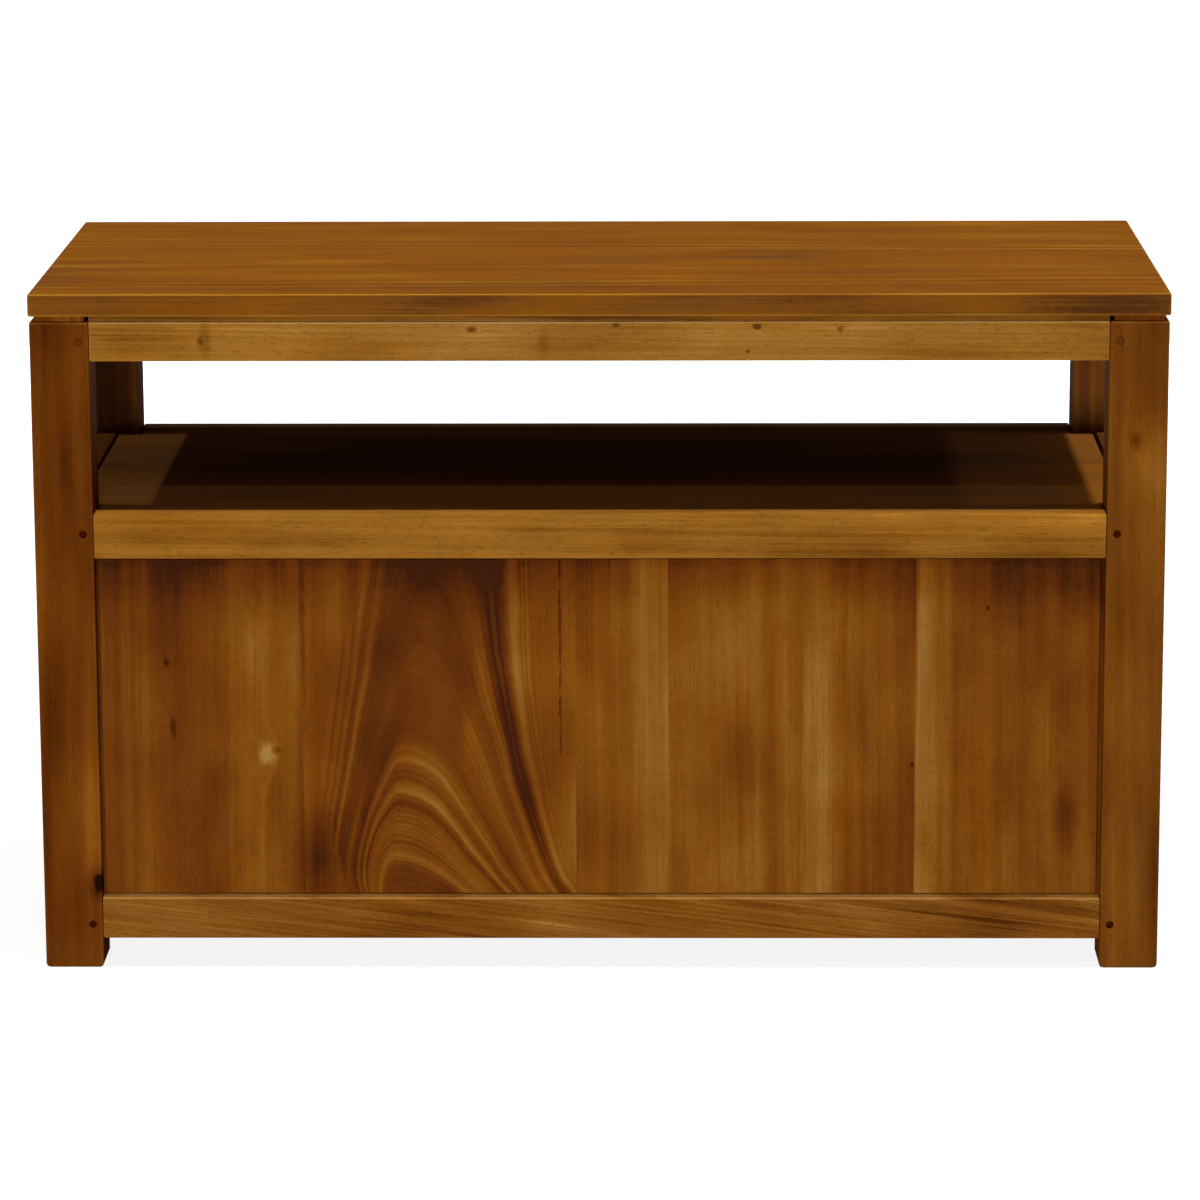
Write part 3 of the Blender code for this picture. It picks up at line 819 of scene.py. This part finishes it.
# The rear top rail has pin knots, a pale worn arris and a dark lip under the top, where the dark is painted
# shade in the recess.
TOP_RAIL_WOOD = replace(
    RAIL_WOOD,
    name="knotty_golden_hardwood",
    level=0.55,
    arris=0.45,
    # Painted shade: the first line darkens the lip in the recess under the top.
    seams_and_painted_light=(SeamOrPaintedLight(0.5920, 2.6 * MM, 0.36), SeamOrPaintedLight(0.5886, 0.7 * MM, -0.45)),
    knots_and_painted_light=(
        KnotOrPaintedLight(0.5735, -0.3458, 14.0 * MM, 0.35, 0.30),
        KnotOrPaintedLight(0.5720, -0.3500, 3.0 * MM, 0.8, 0.35),
        KnotOrPaintedLight(0.5826, -0.1108, 2.6 * MM, 1.5, 0.70, turns=True),
        KnotOrPaintedLight(0.5710, -0.0486, 12.0 * MM, 0.4, 0.20),
        KnotOrPaintedLight(0.5860, 0.0155, 1.8 * MM, 1.5, 0.55),
        KnotOrPaintedLight(0.5845, 0.1390, 2.2 * MM, 1.4, 1.0, turns=True),
        KnotOrPaintedLight(0.5626, 0.1310, 1.6 * MM, 1.0, 0.7),
        KnotOrPaintedLight(0.5817, 0.2120, 2.8 * MM, 0.9, 0.45, turns=True),
    ),
)
# The rear middle rail: its upper face and upper arris are paler, a painted highlight for the light that
# falls on them from above.
MID_RAIL_WOOD = replace(
    RAIL_WOOD,
    name="bright_edged_hardwood",
    shades=("#5A330C", "#784912", "#8B5B1C", "#986522", "#C8882E"),
    edge_shift=0.45,
    # Painted highlight: the first mark is a pale band along the upper arris.
    knots_and_painted_light=(KnotOrPaintedLight(0.4110, 0.0, 6.0 * MM, 300.0, -0.14), KnotOrPaintedLight(0.3840, 0.4500, 12.0 * MM, 25.0, 0.18)),
)
# The rear low rail is browner, with dark streaks that run at a slant.
LOW_RAIL_WOOD = replace(
    RAIL_WOOD,
    name="slant_grained_hardwood",
    shades=("#4A2406", "#683A0E", "#7A4914", "#885820", "#A27438"),
    ring_depth=0.70,
    fibre_depth=0.85,
    slant=0.12,
    streak=3.0 * MM,
    streak_depth=0.35,
    # Painted highlight: a pale line along the upper arris, where light from above catches it.
    seams_and_painted_light=(SeamOrPaintedLight(0.0654, 0.8 * MM, -0.45),),
    knots_and_painted_light=(KnotOrPaintedLight(0.047, -0.380, 30.0 * MM, 4.0, -0.10), KnotOrPaintedLight(0.047, 0.400, 30.0 * MM, 4.0, 0.10)),
)
# The side middle rails are a darker brown copy of the rail wood: painted shade, for the dim light on them
# beside the shelf.
SIDE_RAIL_PAINTED_SHADE_WOOD = replace(
    RAIL_WOOD,
    name="painted_shade_brown_rail_hardwood",
    shades=("#462408", "#5C3410", "#6C4016", "#7C4E1C", "#94662C"),
)
# Warm brown boards of the top: fine lines along their length, darker edges and a pale arris.
TOP_WOOD = LacqueredWood(
    "tabletop_hardwood",
    ("#4E2C12", "#6C4014", "#7D480D", "#875511", "#9C7026"),
    ring_depth=0.85,
    fibre_depth=0.60,
    mottle_depth=1.0,
    board_depth=0.15,
    edge_shift=-0.28,
    arris=0.50,
    coat=0.02,
    knots_and_painted_light=(
        KnotOrPaintedLight(-0.2260, -0.4500, 3.0 * MM, 20.0, 0.24),
        KnotOrPaintedLight(-0.2260, 0.0300, 3.0 * MM, 50.0, -0.16),
        KnotOrPaintedLight(-0.2260, 0.4400, 3.0 * MM, 20.0, 0.26),
    ),
)
# The shelf is dull and quiet, because little lacquer is left on it.
SHELF_WOOD = replace(
    TOP_WOOD,
    name="shelf_hardwood",
    shades=("#4C3A20", "#6D4722", "#7E5026", "#8A5624", "#985C1C"),
    board_depth=0.0,
    edge_shift=0.0,
    arris=0.2,
    # A glue line is drawn 1.2 mm wide, ten times its real width, so that it shows.
    seams_and_painted_light=(SeamOrPaintedLight(-0.08, 0.6 * MM, 0.3), SeamOrPaintedLight(0.07, 0.6 * MM, 0.3)),
    coat=0.004,
    # Painted light: its right end is paler, where lamplight falls in through the open side. Painted shade:
    # its middle is darker, in the shade of the top.
    knots_and_painted_light=(KnotOrPaintedLight(0.0, 0.4620, 1.0, 0.04, -0.40), KnotOrPaintedLight(0.0500, -0.0300, 0.10, 3.5, 0.60)),
    ring_depth=0.45,
    fibre_depth=0.30,
)
# The drawer fronts are cut from the same boards as the top, and keep more lacquer.
FRONT_WOOD = replace(TOP_WOOD, name="drawer_front_hardwood", edge_shift=0.0, arris=0.2, coat=0.03, knots_and_painted_light=())
# Flat-sawn boards of the panels: broad soft bands and few pores.
PANEL_WOOD = LacqueredWood(
    "panel_hardwood",
    ("#3C1A08", "#5A2B0A", "#6C390C", "#7B4911", "#8A5D24", "#9C743A"),
    ring=14.0 * MM,
    ring_depth=0.26,
    ring_detail=1.0,
    mottle=70.0 * MM,
    mottle_length=120.0 * MM,
    mottle_depth=0.75,
    fibre_depth=0.25,
    wander=16.0 * MM,
    ripple_depth=0.16,
    pore_depth=0.18,
    board_depth=0.2,
)
# Bare boards inside: planed and left without stain, paler and duller.
INNER_WOOD = LacqueredWood(
    "bare_pale_hardwood", ("#7A5630", "#94703F", "#A9834F", "#B8935E"), coat=0.0, roughness=0.6
)
# Pegs show their end grain, which soaks up the stain and turns nearly black.
PEG_WOOD = LacqueredWood("dark_peg_hardwood", ("#1C0600", "#320E00", "#421800"), arris=0.0, coat=0.008)
# The upper pegs are sanded flush and nearly lost in their posts.
FLUSH_PEG_WOOD = replace(PEG_WOOD, name="flush_peg_hardwood", shades=("#502808", "#5C2F0A", "#66360C"))


@dataclass
class GluedSlab:
    """A slab of boards glued edge to edge, with hairline joints and eased outer arrises."""

    name: str
    low: Vector
    high: Vector
    across: int
    joints: tuple[float, ...]
    ease: float
    seed: int
    tongue: Optional[tuple[Vector, Vector]] = None
    hairline: float = 0.15 * MM

    def build(self) -> bpy.types.Object:
        """Builds the slab's boards, and its tongue if it has one, as one mesh.

        Returns:
            The slab, at the origin with its place in its mesh.
        """
        mesh = bpy.data.meshes.new(self.name)
        whole = bmesh.new()
        edges = (self.low[self.across], *self.joints, self.high[self.across])
        chance = random.Random(self.seed)
        made = [self.board(start, end, chance.random()) for start, end in zip(edges, edges[1:])]
        if self.tongue:
            made.append(self.block(*self.tongue))
        for board in made:
            board.to_mesh(mesh)
            board.free()
            whole.from_mesh(mesh)
        whole.to_mesh(mesh)
        whole.free()
        for face in mesh.polygons:
            face.use_smooth = max(map(abs, face.normal)) < FLAT
        slab = bpy.data.objects.new(self.name, mesh)
        bpy.context.scene.collection.objects.link(slab)
        return slab

    def block(self, low: Vector, high: Vector) -> bmesh.types.BMesh:
        """Builds a plain block.

        Args:
            low: Its lowest corner.
            high: Its highest corner.

        Returns:
            The block.
        """
        block = bmesh.new()
        place = Matrix.Translation((low + high) / 2) @ Matrix.Diagonal((*(high - low), 1.0))
        bmesh.ops.create_cube(block, size=1.0, matrix=place)
        return block

    def board(self, start: float, end: float, seed: float) -> bmesh.types.BMesh:
        """Builds one board of the slab.

        Args:
            start: Where the board starts across the slab.
            end: Where it ends.
            seed: Number from 0 to 1 that sets its grain apart.

        Returns:
            The board, with its seed and its two sides in vertex layers.
        """
        low, high = self.low.copy(), self.high.copy()
        low[self.across], high[self.across] = start, end
        board = self.block(low, high)
        glued = [x for x in (start, end) if x in self.joints]

        def on_joint(edge: bmesh.types.BMEdge) -> bool:
            """Says whether an edge lies in a glued face."""
            return any(all(abs(v.co[self.across] - x) < TOUCH for v in edge.verts) for x in glued)

        for wanted, offset, segments in ((False, self.ease, EASE_SEGMENTS), (True, self.hairline, 1)):
            sharp = [edge for edge in board.edges if edge.calc_face_angle(0.0) > SHARP]
            bmesh.ops.bevel(
                board,
                geom=[edge for edge in sharp if on_joint(edge) == wanted],
                offset=offset,
                affect="EDGES",
                segments=segments,
                profile=0.5,
                material=-1,
            )
        for name, value in (("board_seed", seed), ("board_low", start), ("board_high", end)):
            layer = board.verts.layers.float.new(name)
            for vertex in board.verts:
                vertex[layer] = value
        return board


def wear(obj: bpy.types.Object, material: bpy.types.Material) -> None:
    """Gives an object one material in the place of any that it has.

    Args:
        obj: The object.
        material: What it gets.
    """
    obj.data.materials.clear()
    obj.data.materials.append(material)


@dataclass
class Carcass:
    """Posts, rails, pegs, shelf, drawers and inner pieces, which keep their solids' shapes.

    The first pattern that a node's name fits gives its wood and the way it lies.
    """

    woods: tuple[tuple[str, LacqueredWood, Grain], ...] = (
        ("post_rear_left", LEFT_POST_WOOD, Grain.LONG_PANEL),
        ("post_rear_right", RIGHT_POST_WOOD, Grain.LONG_PANEL),
        ("post_front_*", FRONT_POST_PAINTED_SHADE_WOOD, Grain.LONG_PANEL),
        ("top_rail_rear", TOP_RAIL_WOOD, Grain.LONG_RAIL),
        ("low_rail_rear", LOW_RAIL_WOOD, Grain.LONG_RAIL),
        ("mid_rail_rear", MID_RAIL_WOOD, Grain.LONG_RAIL),
        ("*_rail_front", RAIL_WOOD, Grain.LONG_RAIL),
        ("mid_rail_*", SIDE_RAIL_PAINTED_SHADE_WOOD, Grain.SHORT_RAIL),
        ("*_rail_*", RAIL_WOOD, Grain.SHORT_RAIL),
        ("peg_top_*", FLUSH_PEG_WOOD, Grain.SHORT_RAIL),
        ("peg_*", PEG_WOOD, Grain.SHORT_RAIL),
        ("top", TOP_WOOD, Grain.SLAB),
        ("shelf", SHELF_WOOD, Grain.SLAB),
        ("back_panel", PANEL_WOOD, Grain.LONG_PANEL),
        ("side_panel_*", PANEL_WOOD, Grain.SHORT_PANEL),
        ("centre_partition", RAIL_WOOD, Grain.SHORT_PANEL),
        ("drawer_*_front", FRONT_WOOD, Grain.LONG_RAIL),
        ("drawer_*_back", INNER_WOOD, Grain.LONG_RAIL),
        ("drawer_*_bottom", INNER_WOOD, Grain.SLAB),
        ("*", INNER_WOOD, Grain.SHORT_RAIL),
    )

    def dress(self) -> None:
        """Gives every solid its wood."""
        made: dict[tuple[str, Grain], bpy.types.Material] = {}
        for name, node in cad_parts.items():
            wood, grain = next((w, g) for pattern, w, g in self.woods if fnmatch(name, pattern))
            key = (wood.name, grain)
            if key not in made:
                made[key] = wood.material(grain)
            wear(node, made[key])
            LOG.info("dressed %s in %s", name, made[key].name)


@dataclass
class Tabletop:
    """The top, three boards wide."""

    across: int = 1
    joints: tuple[float, ...] = (-0.070, 0.104)
    ease: float = 2.0 * MM
    seed: int = 4

    def build(self) -> None:
        """Builds the boards of the top over its solid, down on the rails' lip."""
        low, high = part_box("top")
        low.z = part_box("top_rail_rear")[1].z
        slab = GluedSlab("top_boards", low, high, self.across, self.joints, self.ease, self.seed).build()
        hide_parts("top")
        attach(slab, "carcass")
        self.dress(slab)
        LOG.info("built %s", slab.name)

    def dress(self, slab: bpy.types.Object) -> None:
        """Gives the boards their wood."""
        wear(slab, TOP_WOOD.material(Grain.SLAB))


@dataclass
class PostLips:
    """Low lips on the posts, set back from their faces, on which the corners of the top lie."""

    inset: float = 4.0 * MM
    ease: float = 0.5 * MM
    seed: int = 1

    def build(self) -> None:
        """Builds a lip on every post, as high as those of the rails."""
        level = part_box("top_rail_rear")[1].z
        material = POST_WOOD.material(Grain.LONG_PANEL)
        for post in (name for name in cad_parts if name.startswith("post_")):
            low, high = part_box(post)
            foot = Vector((low.x + self.inset, low.y + self.inset, high.z))
            head = Vector((high.x - self.inset, high.y - self.inset, level))
            lip = GluedSlab(f"{post}_lip", foot, head, 0, (), self.ease, self.seed).build()
            wear(lip, material)
            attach(lip, "carcass")
            LOG.info("built %s", lip.name)


@dataclass
class FloatingPanel:
    """A panel of upright boards that floats in the grooves of its frame on a tongue all round."""

    node: str
    across: int
    joints: tuple[float, ...]
    seed: int
    wood: LacqueredWood
    grain: Grain
    tongue: float = 6.0 * MM
    tongue_thick: float = 4.0 * MM
    margin: float = 3.0 * MM
    foot_margin: float = 1.0 * MM
    ease: float = 0.8 * MM

    def build(self) -> None:
        """Builds the boards and the tongue over the panel's solid."""
        low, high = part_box(self.node)
        tongue_low, tongue_high = Vector(low), Vector(high)
        through = 1 - self.across
        middle = (low[through] + high[through]) / 2
        tongue_low[through] = middle - self.tongue_thick / 2
        tongue_high[through] = middle + self.tongue_thick / 2
        low, high = Vector(low), Vector(high)
        inside = self.tongue + self.margin
        low[self.across] += inside
        high[self.across] -= inside
        low.z += self.tongue + self.foot_margin
        high.z -= inside
        slab = GluedSlab(
            f"{self.node}_boards",
            low,
            high,
            self.across,
            self.joints,
            self.ease,
            self.seed,
            (tongue_low, tongue_high),
        ).build()
        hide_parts(self.node)
        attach(slab, "carcass")
        self.dress(slab)
        LOG.info("built %s", slab.name)

    def dress(self, slab: bpy.types.Object) -> None:
        """Gives the boards their wood."""
        wear(slab, self.wood.material(self.grain))


# The flame of the back panel's widest board, each ring by its radius and its tone.
FLAME = Flame(
    low=-0.2660,
    high=-0.0216,
    foot=0.067,
    rings=(
        (0.0000, 0.22), (0.0400, 0.26), (0.0490, 0.30), (0.0540, 0.52), (0.0576, 0.74), (0.0610, 0.58),
        (0.0680, 0.48), (0.0730, 0.60), (0.0790, 0.50), (0.0824, 0.56), (0.0850, 0.30), (0.0890, 0.26),
        (0.0908, 0.54), (0.0922, 0.76), (0.0950, 0.52), (0.0985, 0.30), (0.1015, 0.46), (0.1041, 0.62),
        (0.1065, 0.42), (0.1120, 0.26), (0.1160, 0.34), (0.1215, 0.52), (0.1255, 0.56), (0.1290, 0.36),
        (0.1315, 0.32), (0.1355, 0.56), (0.1375, 0.52), (0.1400, 0.24), (0.1445, 0.02), (0.1490, 0.20),
        (0.1530, 0.66), (0.1575, 0.44),
    ),
    left_rings=(
        (0.0000, 0.22), (0.0490, 0.30), (0.0576, 0.68), (0.0660, 0.48), (0.0760, 0.54), (0.0824, 0.54),
        (0.0870, 0.24), (0.0922, 0.66), (0.0985, 0.28), (0.1041, 0.54), (0.1100, 0.24), (0.1180, 0.32),
        (0.1241, 0.52), (0.1290, 0.32), (0.1400, 0.26), (0.1500, 0.32), (0.1572, 0.64), (0.1615, 0.34),
        (0.1680, 0.30), (0.1738, 0.60), (0.1790, 0.36), (0.1860, 0.54), (0.1920, 0.36), (0.2000, 0.54),
        (0.2070, 0.40), (0.2200, 0.48),
    ),
    left_edge=(
        (0.000, 0.116), (0.030, 0.140), (0.080, 0.190), (0.140, 0.215), (0.200, 0.205), (0.290, 0.172),
    ),
)
# The back panel's boards each have bands of their own, given across the panel by their tones.
BACK_PANEL_WOOD = replace(
    PANEL_WOOD,
    name="back_panel_hardwood",
    board_depth=0.0,
    flame=FLAME,
    bands=(
        (-0.448, 0.45), (-0.405, 0.46), (-0.392, 0.32), (-0.340, 0.31), (-0.322, 0.48), (-0.2665, 0.60),
        (-0.2655, 0.45), (-0.1900, 0.45), (-0.0800, 0.51), (-0.0220, 0.50),
        (-0.0210, 0.48), (0.0180, 0.52), (0.0300, 0.66), (0.0600, 0.76),
        (0.0610, 0.56), (0.1500, 0.57), (0.1620, 0.62), (0.1815, 0.62),
        (0.1825, 0.82), (0.2000, 0.74), (0.2200, 0.50), (0.2800, 0.45),
        (0.2820, 0.80), (0.3020, 0.66), (0.3200, 0.44), (0.3800, 0.47), (0.4080, 0.44), (0.4480, 0.46),
    ),
    knots_and_painted_light=(
        KnotOrPaintedLight(-0.3867, 0.280, 3.0 * MM, 1.2, 0.35),
        KnotOrPaintedLight(-0.3820, 0.221, 2.6 * MM, 4.0, 0.25),
        KnotOrPaintedLight(-0.2975, 0.196, 7.0 * MM, 1.3, -0.42, turns=True),
        KnotOrPaintedLight(-0.2900, 0.199, 3.6 * MM, 0.9, 0.35),
        KnotOrPaintedLight(-0.2650, 0.300, 1.6 * MM, 38.0, 0.22),
        KnotOrPaintedLight(-0.0355, 0.300, 1.0 * MM, 66.0, 0.35),
        KnotOrPaintedLight(0.1270, 0.189, 20.0 * MM, 1.3, 0.08),
        KnotOrPaintedLight(0.3940, 0.218, 6.0 * MM, 9.0, -0.16),
        KnotOrPaintedLight(0.4160, 0.137, 10.0 * MM, 2.5, 0.24),
        KnotOrPaintedLight(0.3450, 0.330, 1.8 * MM, 1.3, 0.4),
        KnotOrPaintedLight(0.2790, 0.186, 2.0 * MM, 1.2, 0.4),
        KnotOrPaintedLight(-0.2580, 0.085, 22.0 * MM, 2.6, 0.22),
        KnotOrPaintedLight(-0.2450, 0.330, 16.0 * MM, 3.0, -0.17),
        KnotOrPaintedLight(-0.1850, 0.105, 50.0 * MM, 1.0, 0.13),
        KnotOrPaintedLight(-0.0720, 0.285, 10.0 * MM, 5.0, -0.13),
        KnotOrPaintedLight(0.4000, 0.360, 75.0 * MM, 0.6, 0.10),
        KnotOrPaintedLight(-0.4130, 0.325, 38.0 * MM, 1.0, 0.12),
        KnotOrPaintedLight(0.1930, 0.335, 14.0 * MM, 3.0, 0.13),
        KnotOrPaintedLight(-0.3390, 0.120, 12.0 * MM, 3.0, -0.12),
        KnotOrPaintedLight(-0.1880, 0.350, 26.0 * MM, 1.5, -0.10),
        KnotOrPaintedLight(0.2860, 0.150, 8.0 * MM, 10.0, 0.12),
        # Painted shadow: a soft dark band under the middle rail, where its shadow falls on the panel.
        KnotOrPaintedLight(0.0, 0.3790, 1.5, 0.024, 0.24),
    ),
    # Painted shade: darker lines under the rail and along the posts, where shade falls in the panel's
    # grooves.
    seams_and_painted_light=(
        SeamOrPaintedLight(0.3790, 11.0 * MM, 0.08, crosswise=True),
        SeamOrPaintedLight(-0.4480, 3.0 * MM, 0.35),
        SeamOrPaintedLight(0.4480, 4.0 * MM, 0.30),
    ),
)
PANELS = (
    FloatingPanel(
        "back_panel",
        0,
        (-0.2660, -0.0216, 0.0608, 0.1822, 0.2813),
        7,
        BACK_PANEL_WOOD,
        Grain.LONG_PANEL,
    ),
    FloatingPanel("side_panel_left", 1, (-0.082, 0.041, 0.118), 2, PANEL_WOOD, Grain.SHORT_PANEL),
    FloatingPanel("side_panel_right", 1, (-0.110, -0.014, 0.087), 5, PANEL_WOOD, Grain.SHORT_PANEL),
)


@dataclass(frozen=True)
class Softbox:
    """A lamp: its place, what it faces, its size in metres, and how bright it shows a white card there."""

    name: str
    place: tuple[float, float, float]
    aim: tuple[float, float, float]
    size: tuple[float, float]
    level: float
    glossy: bool = True

    def build(self) -> None:
        """Hangs the lamp."""
        light = bpy.data.lights.new(self.name, "AREA")
        light.shape = "RECTANGLE"
        light.size, light.size_y = self.size
        away = Vector(self.aim) - Vector(self.place)
        light.energy = self.level * (math.pi * away.length) ** 2
        lamp = bpy.data.objects.new(self.name, light)
        lamp.location = self.place
        lamp.rotation_euler = away.to_track_quat("-Z", "Y").to_euler()
        lamp.visible_camera = False
        lamp.visible_glossy = self.glossy
        bpy.context.scene.collection.objects.link(lamp)


@dataclass
class Studio:
    """A pale floor, a white surround, the lamps and the camera of the photograph."""

    ambient: float = 0.045
    floor_half: float = 12.0
    floor_colour: str = "#8C8C8A"
    glow: float = 0.87
    glow_start: float = 0.5
    glow_full: float = 2.0
    camera_place: tuple[float, float, float] = (0.069, -4.632, 1.303)
    pitch: float = -12.33
    yaw: float = 0.89
    roll: float = -0.21
    lens: float = 152.71
    sensor: float = 36.0
    lamps: tuple[Softbox, ...] = (
        Softbox("front_low", (-0.45, -4.3, 0.22), (0.0, -0.2, 0.28), (0.5, 0.35), 0.78, glossy=False),
        Softbox("front_high", (0.0, -3.4, 3.75), (0.0, -0.2, 0.42), (1.6, 0.30), 0.12),
        Softbox("overhead", (0.1, -0.86, 3.9), (0.0, -0.2, 0.6), (1.8, 0.30), 0.40),
        Softbox("left_high", (-3.7, 0.0, 5.1), (0.0, 0.0, 0.42), (1.0, 0.15), 0.19),
        Softbox("right_high", (4.4, 0.0, 9.85), (0.0, 0.0, 0.42), (1.9, 0.48), 0.54),
        Softbox("right_dim", (3.6, 0.0, 3.03), (0.0, 0.0, 0.42), (1.0, 0.20), 0.095),
        Softbox("back_low", (0.0, 3.2, 0.20), (0.0, 0.2, 0.28), (3.2, 0.35), 0.70),
        Softbox("left_low", (-1.8, 0.0, 0.10), (-0.5, 0.0, 0.28), (1.2, 0.12), 0.40),
        Softbox("right_low", (1.8, 0.0, 0.10), (0.5, 0.0, 0.28), (1.2, 0.12), 0.33),
    )

    def build(self) -> None:
        """Sets up everything round the stand."""
        self.floor()
        self.surround()
        self.camera()
        for lamp in self.lamps:
            lamp.build()
        bpy.context.scene.view_settings.view_transform = "Standard"

    def shown(self, tree: Tree) -> Socket:
        """Tells what is looked at from what only lights the stand.

        Args:
            tree: Tree that takes it.

        Returns:
            1 where the camera, a reflection or a clear surface looks, and 0 for other light.
        """
        path = add_node(tree, "LightPath").node.outputs
        seen = add_node(
            tree, "Math", {0: path["Is Camera Ray"], 1: path["Is Glossy Ray"]}, operation="MAXIMUM"
        )
        return add_node(tree, "Math", {0: seen, 1: path["Is Transmission Ray"]}, operation="MAXIMUM")

    def surround(self) -> None:
        """Makes the surround white to look at and dim as a light."""
        world = bpy.data.worlds.new("white_surround")
        bpy.context.scene.world = world
        world.use_nodes = True
        tree = world.node_tree
        tree.nodes.clear()
        strength = add_node(
            tree, "MapRange", {"Value": self.shown(tree), "To Min": self.ambient, "To Max": 1.0}
        )
        white = add_node(tree, "Background", {"Color": (1.0, 1.0, 1.0, 1.0), "Strength": strength})
        add_node(tree, "OutputWorld", {"Surface": white})

    def floor(self) -> None:
        """Lays the pale floor, which goes over into the white surround and keeps the stand's shadow."""
        mesh = bpy.data.meshes.new("pale_floor")
        plane = bmesh.new()
        bmesh.ops.create_grid(plane, x_segments=1, y_segments=1, size=self.floor_half)
        plane.to_mesh(mesh)
        plane.free()
        floor = bpy.data.objects.new("pale_floor", mesh)
        bpy.context.scene.collection.objects.link(floor)

        # Matt white paper, rolled out: no sheen, and a soft grey shadow.
        material = bpy.data.materials.new("matt_white_paper")
        material.use_nodes = True
        tree = material.node_tree
        tree.nodes.clear()
        where = add_node(tree, "TexCoord").node.outputs["Object"]
        far = add_node(tree, "VectorMath", {0: where}, operation="LENGTH").node.outputs["Value"]
        glow = add_node(
            tree,
            "MapRange",
            {
                "Value": far,
                "From Min": self.glow_start,
                "From Max": self.glow_full,
                "To Min": self.glow,
                "To Max": 1.0,
            },
            interpolation_type="SMOOTHSTEP",
        )
        glow = add_node(tree, "Math", {0: glow, 1: self.shown(tree)}, operation="MULTIPLY")
        paper = add_node(tree, "BsdfDiffuse", {"Color": linear(self.floor_colour)})
        light = add_node(tree, "Emission", {"Strength": glow})
        both = add_node(tree, "AddShader", {0: paper, 1: light})
        add_node(tree, "OutputMaterial", {"Surface": both})
        wear(floor, material)

    def camera(self) -> None:
        """Stands the camera where the photograph was taken."""
        data = bpy.data.cameras.new("photo_camera")
        data.lens = self.lens
        data.sensor_width = self.sensor
        camera = bpy.data.objects.new("photo_camera", data)
        turn = (
            Matrix.Rotation(math.radians(self.yaw), 4, "Z")
            @ Matrix.Rotation(math.radians(90.0 + self.pitch), 4, "X")
            @ Matrix.Rotation(math.radians(self.roll), 4, "Z")
        )
        camera.matrix_world = Matrix.Translation(self.camera_place) @ turn
        bpy.context.scene.collection.objects.link(camera)
        bpy.context.scene.camera = camera


def main() -> None:
    """Builds and dresses the stand, then its studio."""
    logging.basicConfig(level=logging.INFO)
    Carcass().dress()
    Tabletop().build()
    PostLips().build()
    for panel in PANELS:
        panel.build()
    Studio().build()


if __name__ == "__main__":
    main()
